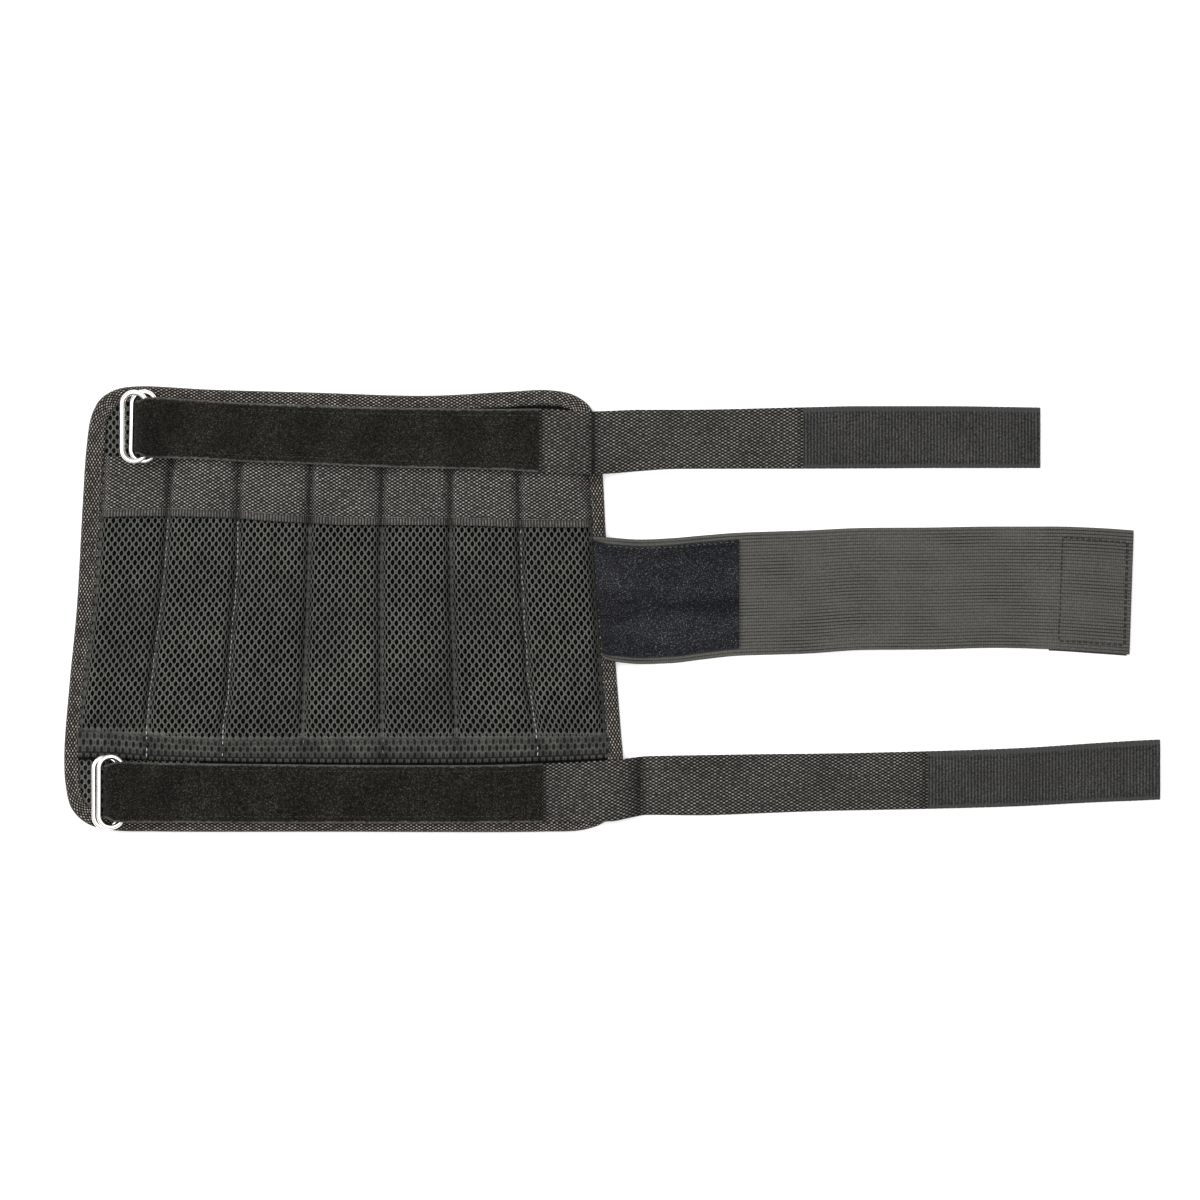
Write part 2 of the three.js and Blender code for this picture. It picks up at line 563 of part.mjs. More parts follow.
const ON_WEB = WEB_T + GAP;
const TOP_END = 213.9;
const BOTTOM_END = 273.8;
const stretch = (route, s) => (s.from === null ? foldedEnd(route, s.to) : cut(route, s.from, s.to));
const topRoute = strapRoute(FOLDS.top, null, TOP_END + 0.3, 44);
const bottomRoute = strapRoute(FOLDS.bottom, null, BOTTOM_END + 0.3, 46);

// The elastic and its patches start along a slanted seam and end slanted too.
const elasticRoute = strapRoute(null, -7.5, 259.9, 46).map((s) => ({
  ...s,
  skewUp: mix(-2.1, 0, Math.min(1, (s.x + 7.5) / 30)) + mix(0, 0.7, Math.max(0, (s.x - 200) / 60)),
  skewLow: mix(2.3, 0, Math.min(1, (s.x + 7.5) / 30)) - mix(0, 1.4, Math.max(0, (s.x - 200) / 60)),
}));
const patchUp = column(PATCH_IN, 'x', 'up');
const patchLow = column(PATCH_IN, 'x', 'low');

// -------------------------------------------------------------------- rings
// A torus whose two halves are drawn apart, so its ends stay round.
function ringGeometry() {
  const bend = (RING_W - WIRE_D) / 2;
  const half = (RING_L - RING_W) / 2;
  const steps = 26;
  const g = new THREE.TorusGeometry(bend, WIRE_D / 2, 8, steps);
  g.deleteAttribute('normal');
  g.deleteAttribute('uv');
  g.rotateZ(Math.PI / steps);
  const merged = mergeVertices(g, 1e-4);
  const p = merged.attributes.position;
  for (let i = 0; i < p.count; i++) p.setY(i, p.getY(i) + Math.sign(p.getY(i)) * half);
  return merged;
}

// ------------------------------------------------------------------ assembly
const FINISH = {
  mesh: { color: 0x3a3a37, roughness: 0.95, metalness: 0 },
  panel: { color: 0x33332f, roughness: 0.95, metalness: 0 },
  tape: { color: 0x45433f, roughness: 0.85, metalness: 0 },
  webbing: { color: 0x4a4844, roughness: 0.85, metalness: 0 },
  loop: { color: 0x1c1b19, roughness: 1.0, metalness: 0 },
  hook: { color: 0x2b2b2c, roughness: 0.8, metalness: 0 },
  navy: { color: 0x20202c, roughness: 1.0, metalness: 0 },
  elastic: { color: 0x55534f, roughness: 0.8, metalness: 0 },
  chrome: { color: 0xdcd8d2, roughness: 0.08, metalness: 1 },
};
const group = new THREE.Group();
function add(name, geometry, finish) {
  const g = geometry.index ? geometry.toNonIndexed() : geometry;
  g.computeVertexNormals();
  const mesh = new THREE.Mesh(g, new THREE.MeshStandardMaterial(FINISH[finish]));
  mesh.name = name;
  group.add(mesh);
  return mesh;
}

add('base_panel', basePanel(), 'panel');
add('edge_binding', edgeBinding(), 'tape');
for (let k = 0; k < 7; k++) add(`pocket_${k + 1}`, pocketWall(k), 'mesh');
add('pocket_hem', pocketHem(), 'mesh');
for (const b of BAND_PARTS) add(b.name, pocketBand(b.first, b.last), 'webbing');

for (const s of STRAP_PARTS.top) add(s.name, layer(stretch(topRoute, s), TOP_EDGES, TOP_LAY, 0, WEB_T, flush), 'webbing');
add('loop_strip_top', layer(cut(topRoute, null, -37.0), TOP_EDGES, TOP_LAY, ON_WEB, PILE_T, flush), 'loop');
add('hook_strip_top', layer(cut(topRoute, 95.2, TOP_END), TOP_EDGES, TOP_LAY, ON_WEB, PILE_T, within(0.3)), 'hook');

for (const s of STRAP_PARTS.bottom) add(s.name, layer(stretch(bottomRoute, s), BOTTOM_EDGES, BOTTOM_LAY, 0, WEB_T, flush), 'webbing');
add('loop_strip_bottom', layer(cut(bottomRoute, null, -35.2), BOTTOM_EDGES, BOTTOM_LAY, ON_WEB, PILE_T, flush), 'loop');
add('hook_strip_bottom', layer(cut(bottomRoute, 157.6, BOTTOM_END), BOTTOM_EDGES, BOTTOM_LAY, ON_WEB, PILE_T, within(0.3)), 'hook');

add('elastic_band', layer(elasticRoute, ELASTIC_EDGES, ELASTIC_LAY, 0, ELASTIC_T, flush), 'elastic');
add('loop_patch', layer(cut(elasticRoute, -7.5, 63.2), ELASTIC_EDGES, ELASTIC_LAY, ELASTIC_T + GAP, PATCH_T,
  (x) => ({ up: patchUp(x), low: patchLow(x) })), 'navy');
add('hook_patch', layer(cut(elasticRoute, 218.6, 258.4), ELASTIC_EDGES, [{ x: 200, z: 0 }, { x: 270, z: 0 }], 0, PATCH_T,
  () => ({ up: 1.6, low: -0.7 })), 'hook');

for (const r of RINGS) {
  const edges = r.fold === 'top' ? TOP_EDGES : BOTTOM_EDGES;
  const lay = r.fold === 'top' ? TOP_LAY : BOTTOM_LAY;
  const width = edges[0].up - edges[0].low;
  const slope = (lay[0].up - lay[0].low) / width;
  const ring = add(r.name, ringGeometry(), 'chrome');
  const level = WEB_T + r.level * GAP + (r.level - 0.5) * WIRE_D;
  ring.rotation.set(Math.atan(slope), 0, THREE.MathUtils.degToRad(r.turn), 'XYZ');
  ring.position.set(r.x, r.y, mix(lay[0].up, lay[0].low, (edges[0].up - r.y) / width) + level / Math.cos(Math.atan(slope)));
}

export default group;
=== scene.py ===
import math

import bpy
import numpy as np
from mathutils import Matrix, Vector


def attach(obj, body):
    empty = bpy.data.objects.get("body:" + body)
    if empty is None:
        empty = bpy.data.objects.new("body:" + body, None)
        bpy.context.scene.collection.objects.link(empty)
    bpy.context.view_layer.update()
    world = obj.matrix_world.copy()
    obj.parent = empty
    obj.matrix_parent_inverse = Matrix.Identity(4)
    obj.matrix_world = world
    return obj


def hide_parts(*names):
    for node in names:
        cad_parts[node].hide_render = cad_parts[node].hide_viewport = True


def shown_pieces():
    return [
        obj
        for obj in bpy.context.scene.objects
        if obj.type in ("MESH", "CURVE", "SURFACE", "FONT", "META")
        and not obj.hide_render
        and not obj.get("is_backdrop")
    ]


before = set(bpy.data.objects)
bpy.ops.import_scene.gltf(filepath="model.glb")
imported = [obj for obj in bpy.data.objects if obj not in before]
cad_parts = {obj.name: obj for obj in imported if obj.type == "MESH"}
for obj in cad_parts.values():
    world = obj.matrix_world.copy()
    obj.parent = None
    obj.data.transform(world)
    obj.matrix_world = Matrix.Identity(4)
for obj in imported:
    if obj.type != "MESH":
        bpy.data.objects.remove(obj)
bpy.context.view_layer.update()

# Strap-on leg weight, laid open and flat. Sizes below are in millimetres and
# become metres when a mesh is made. The tables repeat the frame's own sizes.

# ------------------------------------------------------------------ sizes (mm)
PANEL_T = 3.0
WEB_T = 1.3
PILE_T = 1.1
ELASTIC_T = 1.5
PATCH_T = 1.1
PUFF = 5.2
PUFF_MOUTH = 4.5
BAND_W = 30.3
FOLD_HALF = 13.2
WIRE_D = 2.6
RING_W = 14.2
RING_L = 37.8
GAP = 0.3
FOLD_R = (2 * WIRE_D + 3 * GAP) / 2
LAY = 4.4
ON_WEB = WEB_T + 0.12

HOLE_PITCH = 3.56      # knitted mesh: holes along a row
ROW_PITCH = 2.33       # and from row to row
WEB_U, WEB_V = 1.47, 1.70   # webbing: pits along and across
TAPE_U, TAPE_V = 1.38, 1.56  # binding tape
RIBS = 37              # ribs across the elastic

# outer edge of the binding, clockwise from the lower left: x, y, visible width
OUTLINE = np.array([
    (-274.1, -72.0, 7.4), (-271.4, -36.4, 7.6), (-267.9, 0.1, 8.9), (-264.9, 52.6, 9.9),
    (-263.0, 81.0, 9.6), (-260.4, 97.1, 8.6), (-255.8, 105.3, 8.0), (-248.5, 109.8, 7.8),
    (-238.0, 111.5, 7.8), (-199.8, 109.8, 7.8), (-150.0, 108.4, 7.8), (-93.2, 106.8, 7.8),
    (-55.2, 108.6, 7.8), (-32.0, 109.6, 7.8), (-19.5, 107.2, 7.6), (-10.8, 100.6, 7.4),
    (-7.4, 89.0, 7.4), (-4.9, 67.6, 7.6), (-3.2, 36.1, 6.9), (1.6, -26.9, 7.7),
    (4.2, -60.4, 8.1), (5.4, -77.0, 8.0), (3.8, -95.0, 7.6), (-3.0, -105.6, 7.4),
    (-14.0, -110.1, 7.4), (-36.2, -111.2, 7.4), (-141.2, -111.2, 7.4), (-226.0, -111.1, 7.4),
    (-250.0, -110.4, 7.4), (-262.5, -107.2, 7.4), (-270.3, -99.8, 7.4), (-273.4, -88.0, 7.4),
])
# y, then x of the six seams between the pockets
SEAMS = np.array([
    (76.1, -220.2, -186.2, -150.5, -114.5, -80.8, -47.0),
    (46.1, -222.2, -187.0, -151.0, -115.0, -80.8, -46.2),
    (9.6, -224.8, -188.2, -152.0, -115.5, -80.4, -44.9),
    (-18.9, -228.2, -190.8, -153.0, -115.3, -79.4, -43.0),
    (-40.4, -231.0, -191.8, -153.8, -115.2, -78.8, -41.4),
    (-62.9, -232.8, -194.8, -154.5, -115.0, -78.0, -37.9),
    (-76.0, -232.8, -195.2, -154.5, -115.0, -77.8, -37.2),
])
# x, then y of the mouth, of the fold at the pockets' foot and of the hem's end
CROSS = np.array([
    (-266.0, 76.2, -60.9, -74.4), (-254.0, 76.4, -61.4, -74.6), (-228.0, 76.8, -63.4, -76.0),
    (-190.0, 75.9, -65.9, -76.6), (-171.0, 74.4, -65.6, -76.9), (-152.0, 73.4, -65.2, -77.1),
    (-133.0, 72.4, -64.9, -77.3), (-84.0, 72.3, -64.6, -77.4), (-46.0, 71.4, -64.1, -76.7),
    (-12.0, 71.2, -63.7, -75.4), (-3.0, 71.2, -63.5, -74.8),
])
SHEET_ROWS = np.array([
    (0.0, PUFF_MOUTH / PUFF), (0.12, PUFF_MOUTH / PUFF), (0.22, 0.9), (0.34, 0.98), (0.5, 1.0),
    (0.66, 1.0), (0.8, 0.97), (0.9, 0.86), (0.955, 0.58), (0.985, 0.24), (1.0, 0.0),
])
# straps: x, upper edge, lower edge; then x and the lay under each edge
TOP_EDGES = np.array([
    (-242.0, 106.7, 75.6), (-209.2, 104.8, 75.1), (-180.8, 103.1, 73.6), (-151.8, 101.9, 72.6),
    (-126.2, 101.1, 71.4), (-93.2, 100.5, 70.4), (-55.2, 100.1, 69.6), (-36.2, 100.3, 68.4),
    (-10.2, 98.9, 67.4), (-1.2, 99.2, 67.8), (13.8, 99.8, 69.1), (33.8, 99.8, 70.2),
    (95.2, 101.0, 70.3), (123.8, 101.6, 70.4), (163.8, 101.6, 70.6), (214.2, 100.9, 70.6),
])
TOP_LAY = np.array([
    (-260, 4.4, 10.9), (-180, 4.4, 10.9), (-93, 4.4, 11.2), (-40, 4.4, 11.5), (-24, 4.4, 11.3),
    (-14, 4.4, 9.9), (-8, 4.4, 7.8), (-4, 4.3, 6.0), (2, 3.2, 3.6), (8, 1.5, 1.6),
    (14, 0.4, 0.4), (20, 0, 0), (70, 0, 0), (90, 0.5, 0.4), (112, 0, 0), (150, 0, 0),
    (178, 0.6, 0.4), (205, 0, 0), (216, 0, 0),
])
BOTTOM_EDGES = np.array([
    (-258.0, -75.3, -106.5), (-234.2, -76.5, -106.6), (-208.8, -77.0, -106.7),
    (-166.2, -77.5, -107.0), (-106.2, -77.9, -107.0), (-72.2, -77.9, -106.9),
    (-35.2, -77.1, -106.5), (-0.8, -75.4, -106.0), (8.8, -74.3, -104.2), (17.2, -73.4, -102.8),
    (43.8, -72.9, -103.0), (73.8, -72.4, -102.0), (103.8, -72.1, -100.9), (157.8, -70.9, -99.8),
    (200.2, -69.5, -98.6), (243.8, -66.7, -96.4), (261.8, -65.6, -95.7), (274.2, -65.0, -95.1),
])
BOTTOM_LAY = np.array([
    (-262, 4.4, 4.4), (2, 4.4, 4.4), (6, 4.2, 4.0), (10, 2.9, 2.7), (15, 1.1, 1.0),
    (20, 0.2, 0.2), (25, 0, 0), (80, 0, 0), (118, 0.6, 0.3), (160, 0, 0), (215, 0.3, 0.1),
    (250, 0, 0), (276, 0, 0),
])
ELASTIC_EDGES = np.array([
    (-10.2, 36.6, -22.6), (-3.2, 36.2, -25.8), (14.2, 34.9, -27.4), (29.8, 35.6, -26.9),
    (44.8, 36.9, -25.1), (63.2, 38.3, -23.2), (95.8, 39.4, -22.2), (126.8, 40.7, -20.3),
    (157.8, 40.9, -20.1), (191.2, 41.4, -19.3), (219.8, 41.4, -20.0), (243.8, 40.6, -21.5),
    (260.8, 39.4, -22.7),
])
ELASTIC_LAY = np.array([
    (-12, LAY, LAY), (1, 4.6, 4.6), (5, 4.1, 4.1), (11, 2.4, 2.4), (18, 0.8, 0.8), (25, 0.1, 0.1),
    (32, 0, 0), (84, 0, 0), (106, 0.8, 0.8), (126, 1.7, 1.7), (146, 0.8, 0.8), (166, 0, 0),
    (202, 0, 0), (211, 0.6, 0.6), (218, 1.4, 1.4), (262, 1.4, 1.4),
])
PATCH_IN = np.array([(-10, 1.2, 1.6), (3, 3.6, 3.2), (24, 3.7, 3.4), (64, 3.4, 3.8)])
FOLDS = {
    "top": (-233.2, -216.6, np.array([
        (-231.0, 7.4), (-229.2, 6.9), (-226.6, 5.5), (-224.0, 3.8), (-221.4, 2.3),
        (-218.6, 1.65), (-215.6, 1.5), (-213.0, 0.9), (-210.4, 0.25), (-207.4, 0)])),
    "bottom": (-249.0, -229.8, np.array([
        (-246.4, 7.4), (-243.8, 7.3), (-241.4, 6.3), (-238.8, 4.5), (-236.2, 2.8),
        (-233.4, 1.8), (-229.0, 1.55), (-226.2, 0.9), (-223.6, 0.25), (-220.6, 0)])),
}
RINGS = [
    ("ring_top_a", "top", -238.9, 91.1, 1.95, 0.2), ("ring_top_b", "top", -234.3, 91.3, 1, -0.9),
    ("ring_bottom_a", "bottom", -253.3, -91.5, 1, 0.3), ("ring_bottom_b", "bottom", -250.6, -91.2, 2, -0.2),
]
TOP_END, BOTTOM_END = 213.9, 273.8


# ----------------------------------------------------------------- small tools
def mix(a, b, t):
    return a + (b - a) * t


def ease(x, lo, hi):
    t = np.clip((np.asarray(x, float) - lo) / (hi - lo), 0, 1)
    return t * t * (3 - 2 * t)


def column(xs, ys):
    """A smooth curve through a table's column that never overshoots its rows."""
    xs, ys = np.array(xs, float), np.array(ys, float)
    if xs[0] > xs[-1]:
        xs, ys = xs[::-1], ys[::-1]
    d = np.diff(ys) / np.diff(xs)
    m = np.zeros(len(xs))
    m[0], m[-1] = d[0], d[-1]
    for i in range(1, len(xs) - 1):
        m[i] = 0 if d[i - 1] * d[i] <= 0 else 2 / (1 / d[i - 1] + 1 / d[i])

    def at(x):
        x = np.clip(np.asarray(x, float), xs[0], xs[-1])
        i = np.clip(np.searchsorted(xs, x, side="right") - 1, 0, len(xs) - 2)
        h = xs[i + 1] - xs[i]
        t = (x - xs[i]) / h
        return ((2 * t**3 - 3 * t**2 + 1) * ys[i] + (t**3 - 2 * t**2 + t) * h * m[i]
                + (3 * t**2 - 2 * t**3) * ys[i + 1] + (t**3 - t**2) * h * m[i + 1])

    return at


def waves(x, y, seed, length, n=7):
    """Soft random ripples, about one high, from crossed sine waves."""
    rng = np.random.default_rng(seed)
    total = 0
    for _ in range(n):
        a, p, k = rng.uniform(0, math.pi), rng.uniform(0, 6.28), rng.uniform(0.6, 1.6)
        total = total + np.sin((x * math.cos(a) + y * math.sin(a)) * 6.283 * k / length + p)
    return total / math.sqrt(n)


def make(name, points, quads=(), tris=(), uv=None, uv_quads=None, material=None, smooth=True, tone=None):
    """A mesh object from points in mm, faces wound outwards, with its UVs in mm.
    tone, at each point, scales the colour: painted shade in creases, beside seams and under edges, painted light on a
    few raised places, and random unevenness."""
    quads = np.asarray(quads, np.int64).reshape(-1, 4)
    tris = np.asarray(tris, np.int64).reshape(-1, 3)
    p = np.asarray(points, float)
    every = np.concatenate([quads[:, [0, 1, 2]], quads[:, [0, 2, 3]], tris])
    if len(every) and np.einsum("ij,ij->i", p[every[:, 0]], np.cross(p[every[:, 1]], p[every[:, 2]])).sum() < 0:
        quads, tris = quads[:, ::-1], tris[:, ::-1]
        if uv_quads is not None:
            uv_quads = np.asarray(uv_quads)[:, ::-1]
    me = bpy.data.meshes.new(name)
    me.vertices.add(len(p))
    me.vertices.foreach_set("co", (p * 0.001).astype(np.float32).ravel())
    corners = np.concatenate([quads.ravel(), tris.ravel()]).astype(np.int32)
    sizes = np.concatenate([np.full(len(quads), 4), np.full(len(tris), 3)])
    starts = np.concatenate([[0], np.cumsum(sizes)[:-1]]).astype(np.int32)
    me.loops.add(len(corners))
    me.loops.foreach_set("vertex_index", corners)
    me.polygons.add(len(sizes))
    me.polygons.foreach_set("loop_start", starts)
    me.polygons.foreach_set("use_smooth", (sizes == 4) & smooth)
    if uv is not None:
        at = corners if uv_quads is None else np.concatenate([np.asarray(uv_quads).ravel(), tris.ravel()])
        layer = me.uv_layers.new(name="cloth")
        layer.data.foreach_set("uv", np.asarray(uv, np.float32)[at].ravel())
    me.update(calc_edges=True)
    me.validate()
    # the tone attribute holds painted shade and painted light for each point
    painted_shade = me.attributes.new("tone", "FLOAT", "POINT")
    painted_shade.data.foreach_set("value", np.ones(len(p), np.float32) if tone is None else np.asarray(tone, np.float32).ravel())
    ob = bpy.data.objects.new(name, me)
    bpy.context.scene.collection.objects.link(ob)
    if material is not None:
        me.materials.append(material)
    return ob


def slab(name, top, under, uv, material, every=4, tone=None):
    """A closed cloth wall: a fine grid on top, the same at every nth point
    below, and edges that join the two."""
    R, C = top.shape[:2]
    assert (R - 1) % every == 0 and (C - 1) % every == 0
    r2, c2 = (R - 1) // every + 1, (C - 1) // every + 1
    it = np.arange(R * C).reshape(R, C)
    ib = R * C + np.arange(r2 * c2).reshape(r2, c2)
    q1 = np.stack([it[:-1, :-1], it[:-1, 1:], it[1:, 1:], it[1:, :-1]], -1).reshape(-1, 4)
    q2 = np.stack([ib[:-1, :-1], ib[1:, :-1], ib[1:, 1:], ib[:-1, 1:]], -1).reshape(-1, 4)
    tris = []

    def zip_up(a, b):
        for j in range(len(b) - 1):
            h = every // 2
            for i in range(every):
                corner = b[j] if i < h else b[j + 1]
                tris.append((a[j * every + i + 1], a[j * every + i], corner))
            tris.append((b[j], b[j + 1], a[j * every + h]))

    zip_up(it[0], ib[0])
    zip_up(it[-1][::-1], ib[-1][::-1])
    zip_up(it[::-1, 0], ib[::-1, 0])
    zip_up(it[:, -1], ib[:, -1])
    low = under[::every, ::every]
    p = np.concatenate([top.reshape(-1, 3), low.reshape(-1, 3)])
    t = np.concatenate([uv.reshape(-1, 2), uv[::every, ::every].reshape(-1, 2)])
    if tone is not None:
        tone = np.concatenate([tone.ravel(), tone[::every, ::every].ravel()])
    return make(name, p, np.concatenate([q1, q2]), tris, uv=t, material=material, tone=tone)


def fit(n, every=4):
    return int(math.ceil(n / every)) * every + 1


# ------------------------------------------------------------------- materials
class Finish:
    """A procedural material; colours are linear."""

    def __init__(self, name, rough, sheen=0.0, specular=0.5, metal=0.0, sheen_tint=(1, 1, 1)):
        self.m = bpy.data.materials.new(name)
        self.m.use_nodes = True
        self.t = self.m.node_tree
        self.t.nodes.clear()
        self.b = self.new("ShaderNodeBsdfPrincipled")
        out = self.new("ShaderNodeOutputMaterial")
        self.t.links.new(self.b.outputs[0], out.inputs[0])
        self.b.inputs["Roughness"].default_value = rough
        self.b.inputs["Metallic"].default_value = metal
        self.b.inputs["Specular IOR Level"].default_value = specular
        if sheen:
            self.b.inputs["Sheen Weight"].default_value = sheen
            self.b.inputs["Sheen Roughness"].default_value = 0.45
            self.b.inputs["Sheen Tint"].default_value = (*sheen_tint, 1)
        coords = self.new("ShaderNodeTexCoord")
        self.place = coords.outputs["Object"]
        split = self.new("ShaderNodeSeparateXYZ")
        self.t.links.new(coords.outputs["UV"], split.inputs[0])
        self.u, self.v = split.outputs[0], split.outputs[1]

    def new(self, kind):
        return self.t.nodes.new(kind)

    def put(self, socket, value):
        if isinstance(value, (int, float)):
            socket.default_value = value
        elif isinstance(value, tuple):
            socket.default_value = (*value, 1) if len(value) == 3 and len(socket.default_value) == 4 else value
        else:
            self.t.links.new(value, socket)

    def math(self, op, a, b=0.0, c=None, clamp=False):
        n = self.new("ShaderNodeMath")
        n.operation, n.use_clamp = op, clamp
        self.put(n.inputs[0], a)
        self.put(n.inputs[1], b)
        if c is not None:
            self.put(n.inputs[2], c)
        return n.outputs[0]

    def ramp(self, x, lo, hi, a=0.0, b=1.0, soft=True):
        n = self.new("ShaderNodeMapRange")
        n.interpolation_type = "SMOOTHSTEP" if soft else "LINEAR"
        self.put(n.inputs["Value"], x)
        for key, value in zip(("From Min", "From Max", "To Min", "To Max"), (lo, hi, a, b)):
            n.inputs[key].default_value = value
        return n.outputs["Result"]

    def noise(self, scale, detail=2.0, stretch=(1, 1, 1), rough=0.5):
        where = self.new("ShaderNodeMapping")
        where.inputs["Scale"].default_value = stretch
        self.t.links.new(self.place, where.inputs["Vector"])
        n = self.new("ShaderNodeTexNoise")
        self.t.links.new(where.outputs[0], n.inputs["Vector"])
        n.inputs["Scale"].default_value = scale
        n.inputs["Detail"].default_value = detail
        n.inputs["Roughness"].default_value = rough
        return n.outputs["Fac"]

    def blend(self, f, a, b):
        n = self.new("ShaderNodeMix")
        n.data_type = "RGBA"
        self.put(n.inputs[0], f)
        self.put(n.inputs[6], a)
        self.put(n.inputs[7], b)
        return n.outputs[2]

    def shade(self, colour, by):
        """colour times a number."""
        n = self.new("ShaderNodeVectorMath")
        n.operation = "SCALE"
        self.put(n.inputs[0], colour)
        self.put(n.inputs["Scale"], by)
        return n.outputs[0]

    def lattice(self, pu, pv):
        """1 at points pu apart along and pv across, every other column moved half."""
        a = self.math("COSINE", self.math("MULTIPLY", self.u, math.pi / pu))
        b = self.math("COSINE", self.math("MULTIPLY", self.v, 2 * math.pi / pv))
        return self.math("MULTIPLY", a, b)

    def colour(self, value):
        # the colour is multiplied by the tone attribute: painted shade and painted light
        tone = self.new("ShaderNodeAttribute")
        tone.attribute_name = "tone"
        self.put(self.b.inputs["Base Color"], self.shade(value, tone.outputs["Fac"]))

    def bump(self, height, distance, strength=1.0):
        n = self.new("ShaderNodeBump")
        n.inputs["Strength"].default_value = strength
        n.inputs["Distance"].default_value = distance
        self.put(n.inputs["Height"], height)
        self.t.links.new(n.outputs[0], self.b.inputs["Normal"])


def woven(name, pu, pv, base, pit, crown, depth, rough=0.6, pits=(0.10, 0.75), border=None):
    """Webbing: black pits between yarns, painted shade, and paler yarn crowns, painted highlights of uneven
    brightness. border is where a ribbed edge begins, across the tape; its ribs get painted highlights, with painted
    shade between them."""
    f = Finish(name, rough, sheen=0.02, specular=0.10)
    g = f.lattice(pu, pv)
    dark = f.ramp(g, *pits)
    light = f.ramp(g, -0.15, -0.90)
    if border is not None:
        edge = f.ramp(f.v, border - 0.25, border + 0.25)
        tick = f.math("COSINE", f.math("MULTIPLY", f.u, 2 * math.pi / 1.55))
        light = f.math("ADD", f.math("MULTIPLY", light, f.math("SUBTRACT", 1.0, edge)),
                       f.math("MULTIPLY", f.ramp(tick, 0.1, 1.0), f.math("MULTIPLY", edge, 0.30)))
        dark = f.math("ADD", f.math("MULTIPLY", dark, f.math("SUBTRACT", 1.0, edge)),
                      f.math("MULTIPLY", f.ramp(tick, -0.3, -0.95), f.math("MULTIPLY", edge, 0.52)))
    fibre = f.noise(2600, 2)
    glint = f.ramp(f.noise(620, 2, rough=0.6), 0.36, 0.64, 0.30, 1.75, False)
    # painted highlights on the yarn crowns, scaled at random by glint; then painted shade in the pits
    c = f.blend(light, base, f.shade(crown, glint))
    c = f.blend(dark, c, pit)
    c = f.shade(c, f.ramp(fibre, 0.3, 0.7, 0.72, 1.28, False))
    c = f.shade(c, f.ramp(f.noise(60, 3), 0.3, 0.7, 0.88, 1.12, False))
    f.colour(c)
    h = f.math("SUBTRACT", f.math("MULTIPLY", light, 0.5), dark)
    f.bump(f.math("ADD", h, f.math("MULTIPLY", fibre, 0.35)), depth)
    return f.m


def pile(name, base, bright, tint, edge, width, speck=900, cover=(0.50, 0.66), streak=None, side=1.3):
    """Velvet loop tape: a mottled, glinting nap between two thin selvedges."""
    f = Finish(name, 0.92, sheen=0.06, specular=0.05, sheen_tint=(0.8, 0.78, 0.72))
    fine = f.noise(speck, 3, rough=0.7)
    coarse = f.noise(420, 2, rough=0.6)
    c = f.blend(f.ramp(coarse, 0.36, 0.70), base, tint)
    c = f.blend(f.ramp(fine, *cover), c, bright)
    c = f.shade(c, f.ramp(f.noise(95, 3), 0.3, 0.7, 0.82, 1.18, False))
    if streak:
        c = f.shade(c, f.ramp(f.noise(60, 2, (0.10, 1, 1)), 0.36, 0.64, *streak, False))
    near = f.math("MINIMUM", f.v, f.math("SUBTRACT", width, f.v))
    fuzz = f.math("ADD", near, f.math("MULTIPLY", f.math("SUBTRACT", coarse, 0.5), 2.6))
    c = f.blend(f.ramp(fuzz, side, side * 0.3), c, f.shade(edge, f.ramp(fine, 0.35, 0.65, 0.5, 1.5, False)))
    f.colour(c)
    f.bump(f.math("ADD", fine, f.math("MULTIPLY", coarse, 0.6)), 0.0008, 0.9)
    return f.m


# in each weave the pit colour (second) is painted shade in the pits, and the crown colour (third) painted highlights
# on the yarn crowns
SPUN = dict(
    webbing=woven("webbing_weave", WEB_U, WEB_V, (0.036, 0.034, 0.030), (0.0012, 0.0012, 0.0012), (0.205, 0.196, 0.175), 0.00025,
                  pits=(0.0, 0.60)),
    band=woven("band_weave", WEB_U, WEB_V, (0.041, 0.039, 0.035), (0.0012, 0.0012, 0.0012), (0.280, 0.270, 0.245), 0.00025, pits=(0.0, 0.60),
               border=BAND_W - 3.7),
    tape=woven("tape_weave", TAPE_U, TAPE_V, (0.023, 0.0205, 0.0175), (0.0015, 0.0015, 0.0015), (0.288, 0.263, 0.231), 0.00020,
               pits=(0.0, 0.7)),
)
LOOP = pile("loop_velvet", (0.0056, 0.0055, 0.0044), (0.066, 0.065, 0.053), (0.0125, 0.0116, 0.0088), (0.088, 0.086, 0.079), 31.0,
            speck=1500, cover=(0.50, 0.70))
NAVY = pile("navy_velvet", (0.0100, 0.0104, 0.0124), (0.126, 0.130, 0.138), (0.0146, 0.0150, 0.0192), (0.030, 0.030, 0.038), 57.0,
            speck=1500, cover=(0.52, 0.70), streak=(0.62, 1.2), side=0.6)


